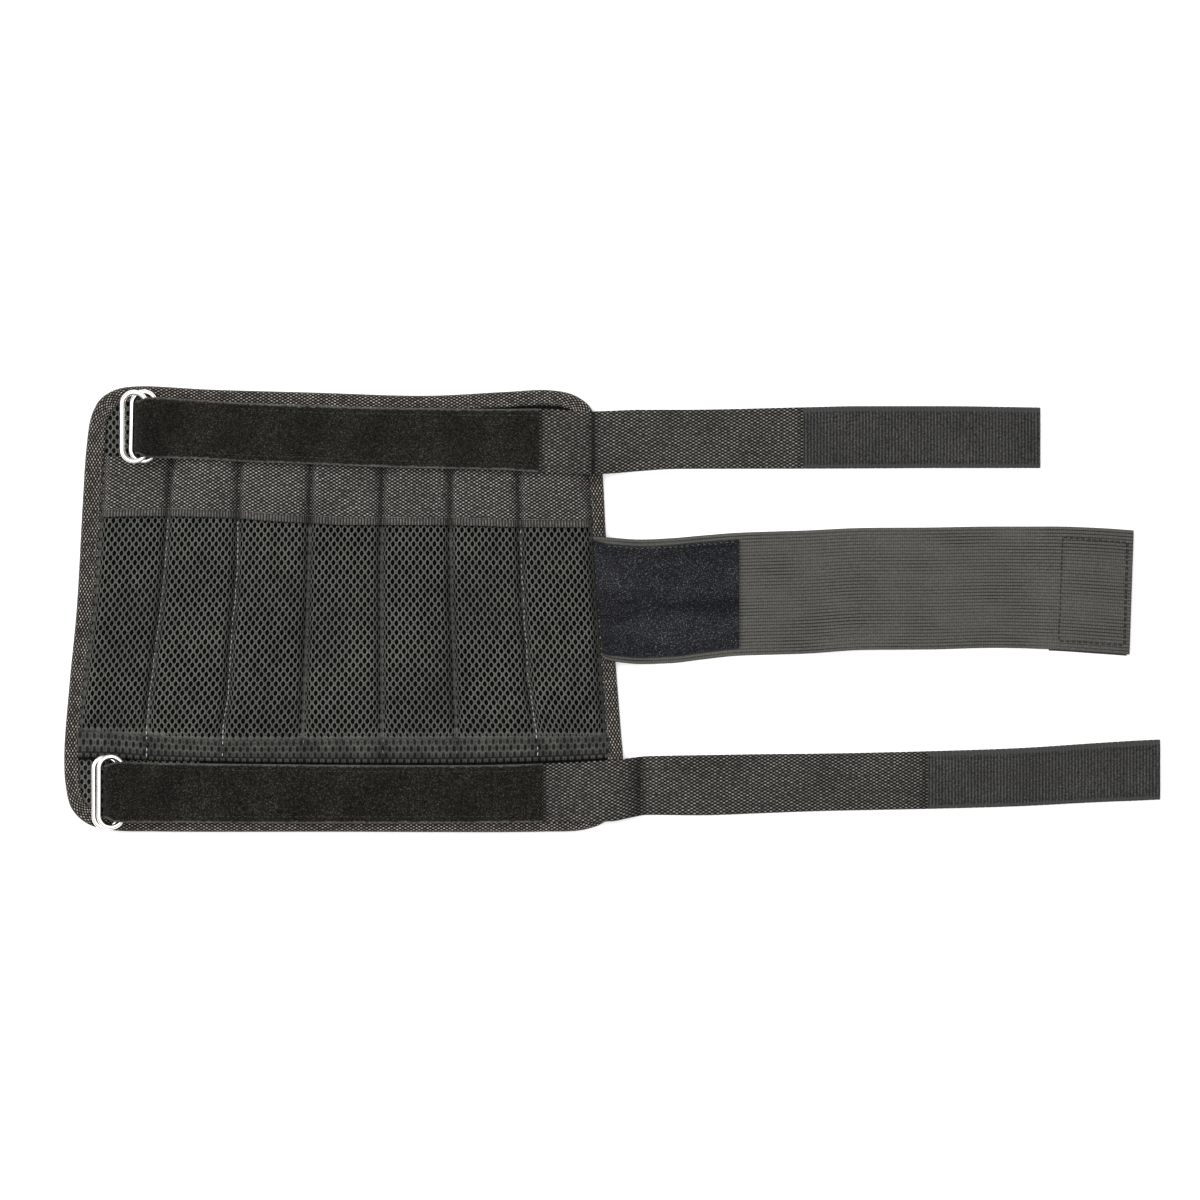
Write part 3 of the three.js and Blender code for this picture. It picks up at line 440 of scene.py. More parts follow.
def knit(name, holes=0.0):
    """Knitted threads: a pale rim round each hole, darker where four holes meet. holes, from 0 to 1, is how deep holes
    are painted that aren't cut: their near-black is painted shade inside each hole."""
    f = Finish(name, 0.6, sheen=0.02, specular=0.08)
    fibre = f.noise(1800, 2)
    g = f.lattice(HOLE_PITCH / 2, ROW_PITCH * 2)
    c = f.blend(f.ramp(g, -1.0, -0.62), (0.040, 0.041, 0.036), (0.112, 0.115, 0.100))
    c = f.shade(c, f.ramp(fibre, 0.3, 0.7, 0.65, 1.35, False))
    c = f.shade(c, f.ramp(f.noise(160, 3), 0.3, 0.7, 0.82, 1.18, False))
    h = f.math("ADD", f.math("MULTIPLY", fibre, 0.3), f.math("MULTIPLY", f.ramp(g, -0.95, -0.3), 0.8))
    if holes:
        # painted shade: uncut holes painted near-black
        dark = f.math("MULTIPLY", f.ramp(g, 0.10, 0.60), holes)
        c = f.blend(dark, c, (0.003, 0.003, 0.003))
        h = f.math("SUBTRACT", h, f.math("MULTIPLY", dark, 3.0))
    f.colour(c)
    f.bump(h, 0.0002)
    return f.m


KNIT = knit("pocket_knit")
PAD = knit("panel_knit", 1.0)
HEMMED = knit("hem_knit", 0.85)


def hooks(name, width):
    """Hook tape: rows of fine stiff hooks between plain selvedges."""
    f = Finish(name, 0.5, specular=0.10)
    row = f.math("COSINE", f.math("MULTIPLY", f.u, 2 * math.pi / 1.62))
    g = f.math("ADD", f.math("MULTIPLY", row, 0.65), f.math("MULTIPLY", f.lattice(0.81, 1.5), 0.35))
    fine = f.noise(1100, 3, rough=0.65)
    c = f.blend(f.ramp(g, -0.5, 0.8), (0.0195, 0.0193, 0.0187), (0.063, 0.062, 0.059))
    c = f.shade(c, f.ramp(fine, 0.34, 0.66, 0.25, 1.75, False))
    c = f.shade(c, f.ramp(f.noise(50, 3), 0.3, 0.7, 0.86, 1.14, False))
    near = f.math("MINIMUM", f.v, f.math("SUBTRACT", width, f.v))
    c = f.blend(f.ramp(near, 1.9, 1.4, 0.0, 0.8), c, (0.052, 0.052, 0.051))
    f.colour(c)
    f.bump(f.math("ADD", f.math("MULTIPLY", g, 0.6), fine), 0.0004)
    return f.m


def ribbed():
    """Woven elastic: ribs along its length, short cross picks on each."""
    f = Finish("elastic_rib", 0.6, sheen=0.02, specular=0.12)
    rib = f.math("COSINE", f.math("MULTIPLY", f.v, 2 * math.pi * RIBS / 61.0))
    pick = f.math("COSINE", f.math("MULTIPLY", f.u, 2 * math.pi / 0.9))
    fibre = f.noise(1500, 3, rough=0.65)
    uneven = f.ramp(f.noise(55, 3, (0.5, 1.4, 1)), 0.36, 0.64, 0.45, 1.0, False)
    # painted shade in the grooves between the ribs, uneven at random
    groove = f.math("MULTIPLY", f.ramp(rib, 0.0, 0.95), uneven)
    c = f.blend(groove, (0.087, 0.085, 0.076), (0.0135, 0.013, 0.0115))
    c = f.shade(c, f.ramp(pick, -1, 1, 0.80, 1.20, False))
    c = f.shade(c, f.ramp(fibre, 0.34, 0.66, 0.66, 1.34, False))
    c = f.shade(c, f.ramp(f.noise(26, 3, (1, 0.3, 1)), 0.3, 0.7, 0.90, 1.10, False))
    f.colour(c)
    f.bump(f.math("ADD", f.math("MULTIPLY", pick, 0.3), fibre), 0.0002)
    return f.m


HOOK, HOOK_WIDE, ELASTIC = hooks("hook_tape", 30.0), hooks("hook_tape_wide", 60.0), ribbed()


def plated():
    f = Finish("plated_wire", 0.09, metal=1.0)
    f.colour(f.blend(f.noise(900, 2), (0.90, 0.86, 0.82), (0.96, 0.94, 0.91)))
    f.put(f.b.inputs["Roughness"], f.ramp(f.noise(300, 3), 0.3, 0.7, 0.10, 0.20, False))
    return f.m


def thread(name, a, b):
    f = Finish(name, 0.55, specular=0.4)
    f.colour(f.blend(f.noise(1200, 2), a, b))
    f.bump(f.noise(4000, 1), 0.0001)
    return f.m


CHROME = plated()
THREAD_PALE = thread("thread_pale", (0.22, 0.22, 0.21), (0.60, 0.60, 0.58))
THREAD_DARK = thread("thread_dark", (0.004, 0.004, 0.004), (0.016, 0.016, 0.016))
THREAD_GREY = thread("thread_grey", (0.09, 0.09, 0.085), (0.16, 0.16, 0.15))

# ------------------------------------------------------------ camera and light
scene = bpy.context.scene
cam = bpy.data.objects.new("camera", bpy.data.cameras.new("camera"))
cam.data.sensor_width, cam.data.lens = 36.0, 576.0
cam.location = (-0.00625, 0.00465, 9.6)
cam.data.clip_start, cam.data.clip_end = 0.05, 40
scene.collection.objects.link(cam)
scene.camera = cam

floor = make("floor", [(-4000, -4000, -0.3), (4000, -4000, -0.3), (4000, 4000, -0.3), (-4000, 4000, -0.3)],
             [(0, 1, 2, 3)])
paper = Finish("floor_paper", 0.9, specular=0.1)
paper.colour(paper.blend(paper.noise(8, 2), (0.93, 0.93, 0.93), (0.95, 0.95, 0.95)))
paper.b.inputs["Emission Color"].default_value = (1, 1, 1, 1)
paper.b.inputs["Emission Strength"].default_value = 0.30
floor.data.materials.append(paper.m)
floor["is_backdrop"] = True

world = bpy.data.worlds.new("studio")
world.use_nodes = True
world.node_tree.nodes["Background"].inputs[0].default_value = (1, 1, 1, 1)
world.node_tree.nodes["Background"].inputs[1].default_value = 0.58
scene.world = world


def lamp(name, where, aim, size, watts):
    light = bpy.data.lights.new(name, "AREA")
    light.shape, light.size, light.size_y, light.energy = "RECTANGLE", size[0], size[1], watts
    ob = bpy.data.objects.new(name, light)
    ob.location = where
    ob.rotation_euler = (Vector(aim) - Vector(where)).to_track_quat("-Z", "Y").to_euler()
    scene.collection.objects.link(ob)
    return ob


lamp("overhead", (-0.3, 0.4, 3.2), (0, 0, 0), (4.2, 4.2), 88)
lamp("side", (-2.2, 0.9, 1.7), (0, 0, 0), (1.2, 1.2), 34)
scene.view_settings.view_transform = "Standard"
scene.view_settings.look = "None"


# -------------------------------------------------------------- the outline
def outline_curve(step):
    """The closed edge at even steps: places, inward directions and widths."""
    p = OUTLINE[:, :2]
    n = len(p)
    out, wide = [], []
    for i in range(n):
        p0, p1, p2, p3 = (p[(i + k) % n] for k in (-1, 0, 1, 2))
        d0, d1, d2 = (np.linalg.norm(b - a) ** 0.5 for a, b in ((p0, p1), (p1, p2), (p2, p3)))
        t1 = ((p1 - p0) / d0 - (p2 - p0) / (d0 + d1) + (p2 - p1) / d1) * d1
        t2 = ((p2 - p1) / d1 - (p3 - p1) / (d1 + d2) + (p3 - p2) / d2) * d1
        t = np.linspace(0, 1, 200, endpoint=False)[:, None]
        out.append(p1 + t1 * t + (-3 * p1 + 3 * p2 - 2 * t1 - t2) * t**2 + (2 * p1 - 2 * p2 + t1 + t2) * t**3)
        wide.append(mix(OUTLINE[i, 2], OUTLINE[(i + 1) % n, 2], t[:, 0]))
    out, wide = np.concatenate(out), np.concatenate(wide)
    run = np.concatenate([[0], np.cumsum(np.linalg.norm(np.roll(out, -1, 0) - out, axis=1))])
    total = run[-1]
    count = fit(total / step) - 1
    at = np.arange(count) / count * total
    closed = np.concatenate([out, out[:1]])
    x, y = np.interp(at, run, closed[:, 0]), np.interp(at, run, closed[:, 1])
    w = np.interp(at, run, np.concatenate([wide, wide[:1]]))
    g = np.exp(-0.5 * (np.arange(-40, 41) * total / count / 4.0) ** 2)
    g /= g.sum()

    def soft(a):
        return np.convolve(np.concatenate([a[-40:], a, a[:40]]), g, "valid")

    dx, dy = soft(np.roll(x, -1) - np.roll(x, 1)), soft(np.roll(y, -1) - np.roll(y, 1))
    long = np.hypot(dx, dy)
    return np.stack([x, y], 1), np.stack([dy / long, -dx / long], 1), soft(w), at, total


EDGE, INWARD, WIDE, RUN, AROUND = outline_curve(1.0)
inner = EDGE + INWARD * (WIDE + 0.2)[:, None]


def side_table(left):
    """x of the tape's inner edge on one side, against y."""
    keep = (inner[:, 0] < -150) if left else (inner[:, 0] > -60)
    keep &= np.abs(inner[:, 1]) < 92
    part = inner[keep]
    part = part[np.argsort(part[:, 1])]
    return lambda y: np.interp(y, part[:, 1], part[:, 0])


LEFT, RIGHT = side_table(True), side_table(False)
SEAM = [column(SEAMS[:, 0], SEAMS[:, k]) for k in range(1, 7)]
MOUTH, FOLD, HEM = (column(CROSS[:, 0], CROSS[:, k]) for k in (1, 2, 3))
SHARE = column(SHEET_ROWS[:, 0], SHEET_ROWS[:, 1])


def boundaries(y):
    """x of the eight lines that bound the pockets, at each y."""
    return np.stack([LEFT(y), *[s(y) for s in SEAM], RIGHT(y)])


def crown(w):
    """A pocket's cross-section: a steep side after a seam, a long fall before one."""
    rise = 1 - (1 - np.clip((w - 0.014) / 0.085, 0, 1)) ** 2.2
    fall = 1 - (1 - np.clip((1 - w - 0.014) / 0.135, 0, 1)) ** 2.1
    return rise * fall * (0.94 + 0.06 * np.sin(math.pi * np.clip(w, 0, 1)))


_w = np.linspace(0, 1, 2001)
_arc = np.concatenate([[0], np.cumsum(np.hypot(np.diff(_w * 35.5), np.diff(crown(_w) * PUFF)))])
ARC = _arc[-1]
CLOTH = np.concatenate([[0], np.cumsum(np.diff(boundaries(np.array([0.0]))[:, 0]) + ARC - 35.5)])


def drape(U, V, lift=0.0):
    """A place on the pocket sheet, from its place on the flat cloth."""
    U, V = np.broadcast_arrays(np.asarray(U, float), np.asarray(V, float))
    k = np.clip(np.searchsorted(CLOTH, U, side="right") - 1, 0, 6)
    s = (U - CLOTH[k]) / (CLOTH[k + 1] - CLOTH[k])
    B = boundaries(V.ravel()).reshape(8, *V.shape)
    left = np.take_along_axis(B, k[None], 0)[0]
    right = np.take_along_axis(B, k[None] + 1, 0)[0]
    flat_x = mix(left, right, np.clip(s, -0.2, 1.2))
    at = (MOUTH(flat_x) - V) / (MOUTH(flat_x) - FOLD(flat_x))
    share = SHARE(np.clip(at, 0, 1))
    s01 = np.clip(s, 0, 1)
    w = mix(s01, np.interp(s01 * ARC, _arc, _w), share)
    x = mix(left, right, w) + (s - s01) * (right - left)
    soft = waves(x, V, 5, 46) * 0.28 + waves(x, V, 8, 19) * 0.10
    z = 3.35 + share * (PUFF * crown(w) + soft * np.sin(math.pi * w))
    return np.stack([x, V, z + lift], -1), w, at


def pleat(w):
    """Painted shade beside a seam: darker before it, on the side turned from the light, than after it."""
    before, after = (1 - w) * 35.5, w * 35.5
    return 1 - 0.55 * np.exp(-(before / 2.0) ** 2) - 0.45 * np.exp(-(after / 1.0) ** 2)


# --------------------------------------------------------------- padded base
def panel():
    """The padded base under everything: a soft slab that fades in at its edge."""
    n = len(EDGE)
    loops = []
    for d, z in [(2.9, 1.05), (1.9, 1.6), (1.9, 2.3), (3.0, 2.75)]:
        loops.append(np.column_stack([EDGE + INWARD * d, np.full(n, z)]))
    for extra, z in [(0.5, 2.95), (3.0, 3.0)]:
        loops.append(np.column_stack([EDGE + INWARD * (WIDE + extra)[:, None], np.full(n, z)]))
    low = [np.column_stack([EDGE + INWARD * (WIDE + e)[:, None], np.full(n, z)]) for e, z in [(3.0, 0.0), (0.6, 0.35)]]
    stack = np.concatenate([low, loops])
    k = len(stack)
    i = np.arange(k * n).reshape(k, n)
    q = np.stack([i[:-1], np.roll(i[:-1], -1, 1), np.roll(i[1:], -1, 1), i[1:]], -1).reshape(-1, 4)
    pts = stack.reshape(-1, 3)
    pts = np.concatenate([pts, [[-134, 0, 0.0], [-134, 0, 3.0]]])
    a, b = len(pts) - 2, len(pts) - 1
    tris = [(a, int(i[0, (j + 1) % n]), int(i[0, j])) for j in range(n)]
    tris += [(b, int(i[-1, j]), int(i[-1, (j + 1) % n])) for j in range(n)]
    # painted shade: the pad's upper face, seen inside the pockets and through the holes, is near-black; its underside
    # keeps its colour
    tone = np.where(pts[:, 2] < 0.5, 1.0, 0.03)
    return make("panel_pad", pts, q, tris, uv=pts[:, :2], material=PAD, tone=tone)


pad = panel()
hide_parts("base_panel")
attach(pad, "root")


# ---------------------------------------------------------------- the binding
def binding():
    """Tape folded round the panel's edge."""
    n = len(EDGE)
    # share of the width in from the edge, mm in from the edge, z
    prof = [(1.0, 0.0, 3.95)] + [(t, 0.0, 4.02 + 0.28 * math.sin(math.pi * min(1, (1 - t) * 1.1)))
                                  for t in np.linspace(0.94, 0.22, 11)]
    outer = list(prof)
    for a in np.linspace(math.radians(70), math.radians(-70), 9):
        outer.append((0.0, 1.5 - 1.5 * math.cos(a), 2.06 + 2.06 * math.sin(a)))
    outer += [(0.25, 0.0, 0.0), (0.6, 0.0, 0.0), (1.0, 0.0, 0.0)]
    inside = [(1.0, 0.0, 0.34), (0.6, 0.0, 0.75), (0.2, 0.9, 0.8), (0.12, 0.4, 2.0), (0.2, 0.9, 3.1),
              (0.6, 0.0, 3.2), (1.0, 0.0, 3.55)]
    sec = outer + inside
    P = np.zeros((len(sec) + 1, n, 3))
    wob = waves(RUN, 0 * RUN, 3, 60) * 0.12
    for j, (s, d, z) in enumerate(sec):
        off = (s * WIDE + d)[:, None]
        P[j, :, :2] = EDGE + INWARD * off
        P[j, :, 2] = z + (wob * (z > 2.5) * (1 - abs(2 * s - 1)) if j < 12 else 0)
    P[-1] = P[0]
    m = len(sec)
    v = np.concatenate([np.zeros((1, n)), np.cumsum(np.linalg.norm(np.diff(P, axis=0), axis=2), axis=0)])
    v = np.concatenate([v, v[:, :1]], 1)
    idx = np.arange(m * n).reshape(m, n)
    uvi = np.arange((m + 1) * (n + 1)).reshape(m + 1, n + 1)
    up = np.roll(idx, -1, 0)
    q = np.stack([idx, np.roll(idx, -1, 1), np.roll(up, -1, 1), up], -1).reshape(-1, 4)
    uq = np.stack([uvi[:-1, :-1], uvi[:-1, 1:], uvi[1:, 1:], uvi[1:, :-1]], -1).reshape(-1, 4)
    pu = AROUND / round(AROUND / (2 * TAPE_U)) / (2 * TAPE_U)   # whole repeats round the edge
    uu = np.concatenate([RUN, [AROUND]]) / pu
    uv = np.stack(np.broadcast_arrays(uu[None, :], v), -1).reshape(-1, 2)
    tone = np.ones((m, n))
    # painted shade: a dark line along the tape's inner edge, where it meets the mesh; the next rows are a little
    # lighter
    tone[0], tone[1] = 0.45, 0.8
    tone[2:5] = 1.12
    return make("edge_tape", P[:-1].reshape(-1, 3), q, uv=uv, uv_quads=uq, material=SPUN["tape"], tone=tone)


tape = binding()
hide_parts("edge_binding")
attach(tape, "root")


# ------------------------------------------------------------- knitted pockets
def knitted(name, place, cells, thickness, material, tone=None):
    """A net of threads with real oval holes. cells holds (U, V, hole size from
    0 to 1, point) of each stitch; place turns U, V and a lift into points."""
    a, b = HOLE_PITCH, ROW_PITCH
    t, s = 1.76, b - 1.76
    rim = [(0, t), (a / 2, s), (a / 2, 0), (a / 2, -s), (0, -t), (-a / 2, -s), (-a / 2, 0), (-a / 2, s)]
    hw, hh = 0.99, 1.68
    hole = [(0, hh), (hw * 0.82, hh * 0.48), (hw, 0), (hw * 0.82, -hh * 0.48), (0, -hh),
            (-hw * 0.82, -hh * 0.48), (-hw, 0), (-hw * 0.82, hh * 0.48)]
    key, points, lifts, faces = {}, [], [], []

    def corner(u, v):
        k = (round(u * 50), round(v * 50))
        if k not in key:
            key[k] = len(points)
            points.append((u, v))
            lifts.append(0.16)
        return key[k]

    for U, V, size in cells:
        ring = [corner(U + du, V + dv) for du, dv in rim]
        if size > 0.45:
            first = len(points)
            for du, dv in hole:
                points.append((U + du * size, V + dv * size))
                lifts.append(-0.12)
            for j in range(8):
                l = (j + 1) % 8
                faces.append((ring[j], ring[l], first + l, first + j))
        else:
            faces += [(ring[0], ring[1], ring[2], ring[3]), (ring[0], ring[3], ring[4], ring[7]),
                      (ring[4], ring[5], ring[6], ring[7])]
    uv, lifts, F = np.array(points), np.array(lifts), np.array(faces)
    top = place(uv[:, 0], uv[:, 1], lifts + thickness)
    low = place(uv[:, 0], uv[:, 1], -0.4 * lifts)
    n = len(uv)
    e = np.concatenate([F[:, [0, 1]], F[:, [1, 2]], F[:, [2, 3]], F[:, [3, 0]]])
    code = np.minimum(e[:, 0], e[:, 1]) * n + np.maximum(e[:, 0], e[:, 1])
    _, where, count = np.unique(code, return_index=True, return_counts=True)
    rimmed = e[where[count == 1]]
    walls = np.stack([rimmed[:, 1], rimmed[:, 0], rimmed[:, 0] + n, rimmed[:, 1] + n], -1)
    quads = np.concatenate([F, F[:, ::-1] + n, walls])
    painted_shade = np.ones(n) if tone is None else tone(uv[:, 0], uv[:, 1])
    # painted shade: the net's underside gets half the tone of its top
    return make(name, np.concatenate([top, low]), quads, uv=np.concatenate([uv, uv]), material=material,
                tone=np.concatenate([painted_shade, painted_shade * 0.5]))


def pocket_cells():
    cells = []
    rng = np.random.default_rng(11)
    for j in range(33, -30, -1):
        V = j * ROW_PITCH
        us = (np.arange(0, int(CLOTH[-1] / HOLE_PITCH) + 1) + (j % 2) / 2) * HOLE_PITCH
        p, w, at = drape(us, np.full(len(us), V))
        band_low = MOUTH(p[:, 0]) - BAND_W
        for u, (x, _, _), wi, ai in zip(us, p, w, at):
            if V > MOUTH(x) - 2.2 or V < FOLD(x) - 1.6:
                continue
            size = 1.0
            if V > MOUTH(x) - BAND_W + 1.3 or ai > 1.002:   # hidden: no holes needed
                size = 0
            side = min(wi, 1 - wi) * 35.5
            size *= 1 - 0.90 * math.exp(-(side / 0.75) ** 2)
            size *= float(ease(ai, 1.004, 0.975)) * 0.75 + 0.25
            size *= rng.uniform(0.94, 1.04)
            cells.append((float(u), float(V), size))
    return cells


# Painted shade on the pocket net: beside the seams, a shadow under the band's lower edge and in the crease at the
# pockets' foot, with random unevenness.
def mesh_tone(U, V):
    P, w, at = drape(U, V)
    under = MOUTH(P[:, 0]) - BAND_W - V
    tone = pleat(w) * (1 - 0.75 * np.exp(-((under + 0.1) / 0.75) ** 2))
    foot = V - FOLD(P[:, 0])
    tone *= 1 - 0.80 * np.exp(-((foot + 0.9) / 1.1) ** 2)
    return np.clip(0.86 * tone * (1 + 0.08 * waves(P[:, 0], V, 41, 60)), 0.05, 1.4)


mesh_sheet = knitted("pocket_mesh", lambda U, V, l: drape(U, V, l)[0], pocket_cells(), 0.62, KNIT, mesh_tone)
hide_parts(*[f"pocket_{k}" for k in range(1, 8)])
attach(mesh_sheet, "root")


def base_cells(x0, x1, y0, y1):
    cells = []
    for j in range(math.ceil(y0 / ROW_PITCH), math.floor(y1 / ROW_PITCH) + 1):
        V = j * ROW_PITCH
        for i in range(math.ceil(x0 / HOLE_PITCH), math.floor(x1 / HOLE_PITCH)):
            u = (i + (j % 2) / 2) * HOLE_PITCH
            d = np.hypot(*(EDGE - (u, V)).T)
            k = int(np.argmin(d))
            inside = float(((np.array([u, V]) - EDGE[k]) * INWARD[k]).sum())
            if inside > WIDE[k] - 3.2:
                cells.append((float(u), float(V), 0.93))
    return cells


def on_base(U, V, lift):
    d = np.stack([np.min(np.hypot(U[i] - inner[:, 0], V[i] - inner[:, 1])) for i in range(len(U))])
    near = np.exp(-(d / 2.0) ** 2)
    return np.stack([U, V, 2.98 + 0.10 - 0.1 * near + np.asarray(lift) * (1 - 0.35 * near)], -1)


CELLS_TOP, CELLS_LOW = base_cells(-262, -200, 76.5, 106), base_cells(-273, -206, -108, -76.5)
face_top = knitted("panel_mesh_top", on_base, CELLS_TOP, 0.35, KNIT)
face_low = knitted("panel_mesh_bottom", on_base, CELLS_LOW, 0.35, KNIT)
for piece, size, cells in ((face_top, (0.062, 0.029), CELLS_TOP), (face_low, (0.067, 0.032), CELLS_LOW)):
    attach(piece, "root")


# ------------------------------------------------------------------- the hem
def hem():
    """The doubled lower edge of the pocket sheet: a crease, a ladder of
    squashed holes, a second crease and a row of small holes."""
    C, R = fit((CLOTH[-1] + 3) / 0.5), fit(34)
    U = np.linspace(-1.6, CLOTH[-1] + 1.6, C)
    t = np.linspace(0, 1, R)
    x = drape(U, np.full(C, -70.0))[0][:, 0]
    X = np.repeat(x[None], R, 0)
    up, low = FOLD(x) + 1.0, HEM(x) + 0.2
    Y = mix(up[None], low[None], t[:, None])
    T = np.repeat(t[:, None], C, 1)
    across = (T - 0.45) * 12.3
    second = np.exp(-((T - 0.80) / 0.035) ** 2)
    Z = 4.05 + 0.65 * np.sin(math.pi * np.clip((T - 0.04) / 0.76, 0, 1)) ** 0.8 + 0 * X
    Z += 0.30 * np.exp(-((T - 0.89) / 0.06) ** 2)
    Z -= 0.35 * ease(T, 0.10, 0.0) + 0.30 * second + 0.5 * ease(T, 0.95, 1.0)
    Z += 0.12 * waves(X, Y, 21, 9)
    run = X - x[0]
    row = np.cos(2 * math.pi * run / HOLE_PITCH)
    ladder = ease(row, 0.1, 0.9) * np.exp(-(across / 1.5) ** 2)
    small = ease(row, 0.2, 0.9) * np.exp(-((T - 0.90) / 0.04) ** 2)
    Z = Z - 0.50 * ladder - 0.30 * small
    # tone: half strength for the hem's darker cloth, then painted shade in the squashed holes, the second crease,
    # along both ends of the hem and beside the seams, with random unevenness
    tone = 0.50 - 0.24 * ladder - 0.45 * small - 0.50 * second - 0.55 * ease(T, 0.11, 0.02) - 0.60 * ease(T, 0.945, 0.99)
    beside = np.min(np.abs(X[None] - np.stack([f(Y) for f in SEAM])), 0)
    tone = np.clip(tone * (1 - 0.35 * np.exp(-(beside / 2.2) ** 2)) * (1 + 0.16 * waves(X, Y, 23, 17) + 0.10 * waves(X, Y, 24, 5)), 0.03, 1.2)
    top = np.stack([X, Y, Z], -1)
    under = np.stack([X, Y, np.full_like(X, 3.55)], -1)
    return slab("pocket_hem_fold", top, under, np.stack([run, across * 0.80], -1), HEMMED, tone=tone)


hem_piece = hem()
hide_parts("pocket_hem")
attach(hem_piece, "root")


# ------------------------------------------------------------ webbing relief
def weave(u, v):
    g = np.cos(math.pi * u / WEB_U) * np.cos(2 * math.pi * v / WEB_V)
    return 0.11 * ease(-g, 0.2, 1.0) - 0.34 * ease(g, 0.15, 0.9)


def band():
    C = fit(CLOTH[-1] / 0.42)
    R = fit(BAND_W / 0.44)
    U = np.linspace(0.0, CLOTH[-1], C)
    t = np.linspace(0, 1, R)
    base, w, at = drape(U, np.full(C, 60.0))
    mouth, x = MOUTH(base[:, 0]), base[:, 0]
    V = mouth[None] - t[:, None] * BAND_W - 0.0
    UU = np.repeat(U[None], R, 0)
    P, w, at = drape(UU, V)
    vv = np.repeat((t * BAND_W)[:, None], C, 1)
    edge = np.minimum(vv, BAND_W - vv)
    thick = 1.0 * (0.55 + 0.45 * ease(edge, 0, 1.1))
    pinch = -0.25 * np.exp(-((BAND_W - vv - 3.8) / 0.7) ** 2)
    P[..., 2] += 0.95
    top = P.copy()
    top[..., 2] += thick + weave(UU, vv) * ease(edge, 0.1, 0.9) + pinch
    # painted shade at each seam's pleat, a little painted light just after each seam, and a painted shade line along
    # the pinched stitch row
    painted_shade = 0.5 + 0.5 * pleat(w) + 0.10 * np.exp(-(((w * 35.5) - 3.4) / 1.6) ** 2)
    painted_shade *= 1 - 0.55 * np.exp(-((BAND_W - vv - 3.75) / 0.42) ** 2)
    painted_shade *= 1 + 0.07 * waves(P[..., 0], V, 43, 40)
    return slab("mouth_band", top, P, np.stack([UU, vv], -1), SPUN["band"], tone=painted_shade)


band_piece = band()
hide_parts(*[f"pocket_band_{k}" for k in (1, 2, 3)])
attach(band_piece, "root")


# -------------------------------------------------------------------- straps
def strap_route(fold, end, fine, coarse=2.0, from_part="lower"):
    """Stations along a strap: x, height over the lay, share squeezed inside the
    rings. fine is (from, to, step) where the strap shows."""
    xs, hs, sq = [], [], []
    if fold is not None:
        c, lower_end, path = FOLDS[fold]
        if from_part == "lower":
            for x in np.linspace(lower_end, c + 1.2, 8):
                xs.append(x), hs.append(WEB_T), sq.append(1.0)
        first = 270 if from_part == "lower" else 180
        for a in np.arange(first, 89.9, -7.5):
            k = (270 - a) / 22.5
            xs.append(c + FOLD_R * math.cos(math.radians(a)))
            hs.append(WEB_T + FOLD_R + FOLD_R * math.sin(math.radians(a)))
            sq.append(float(np.interp(k, [0, 6, 7, 8], [1, 1, 0.62, 0.25])))
        h = column(path[:, 0], path[:, 1])
        for x in np.arange(path[0, 0], path[-1, 0], 0.8):
            xs.append(x), hs.append(float(h(x)))
            sq.append(float(np.interp(x, [path[0, 0], path[1, 0]], [0.1, 0.0])))
        start = path[-1, 0]
    else:
        start = fine[0]
    x = start
    while x < end - 1e-6:
        xs.append(x), hs.append(0.0), sq.append(0.0)
        x += fine[2] if fine[0] - 1e-6 <= x < fine[1] else coarse
    xs.append(end), hs.append(0.0), sq.append(0.0)
    return np.array(xs), np.array(hs), np.array(sq)


def pad_route(route, every=4):
    """Adds stations near the start, so that the number suits slab()."""
    x, h, s = route
    while (len(x) - 1) % every:
        x, h, s = (np.insert(a, 1, mix(a[0], a[1], 0.5)) for a in (x, h, s))
    return x, h, s


def strap(name, route, edges, lay, lift, thick, across, material, trim=(0.0, 0.0), relief=None,
          edge_soft=1.0, skew=None, width=31.0, u0=0.0, tone=None):
    x, h, sq = pad_route(route)
    C, R = len(x), fit(across)
    t = np.linspace(0, 1, R)
    up, low = column(edges[:, 0], edges[:, 1]), column(edges[:, 0], edges[:, 2])
    lay_up, lay_low = column(lay[:, 0], lay[:, 1]), column(lay[:, 0], lay[:, 2])
    dx, dh = np.gradient(x), np.gradient(h)
    long = np.hypot(dx, dh)
    nx, nz = -dh / long, dx / long
    run = np.concatenate([[0], np.cumsum(np.hypot(np.diff(x), np.diff(h)))]) + u0
    tu, tl = (trim[0](x), trim[1](x)) if callable(trim[0]) else trim
    yu, yl = up(x) - tu, low(x) + tl
    mid = (yu + yl) / 2
    yu, yl = mix(yu, mid + FOLD_HALF, sq), mix(yl, mid - FOLD_HALF, sq)
    full = up(x) - low(x)
    Y = mix(yl[None], yu[None], t[:, None])
    base = mix(lay_up(x)[None], lay_low(x)[None], (up(x)[None] - Y) / full[None])
    sk = 0 if skew is None else mix(skew[1](x)[None], skew[0](x)[None], t[:, None])
    U = np.repeat(run[None], R, 0)
    v = np.repeat((t * width)[:, None], C, 1)
    side = np.minimum(v, width - v)
    body = thick * (1 - 0.42 * (1 - ease(side, 0, edge_soft)))
    drop = thick * 0.12 * (1 - ease(side, 0, edge_soft))

    def at(off):
        return np.stack([x[None] + nx[None] * off + sk, Y, base + h[None] + nz[None] * off], -1)

    rel = 0 if relief is None else relief(U, v) * ease(side, 0.0, 0.9)
    painted_shade = None if tone is None else np.clip(tone(np.repeat(x[None], R, 0), v), 0.05, 1.5)
    return slab(name, at(lift + body + rel), at(lift + drop), np.stack([U, v], -1), material, tone=painted_shade), run[-1] - u0


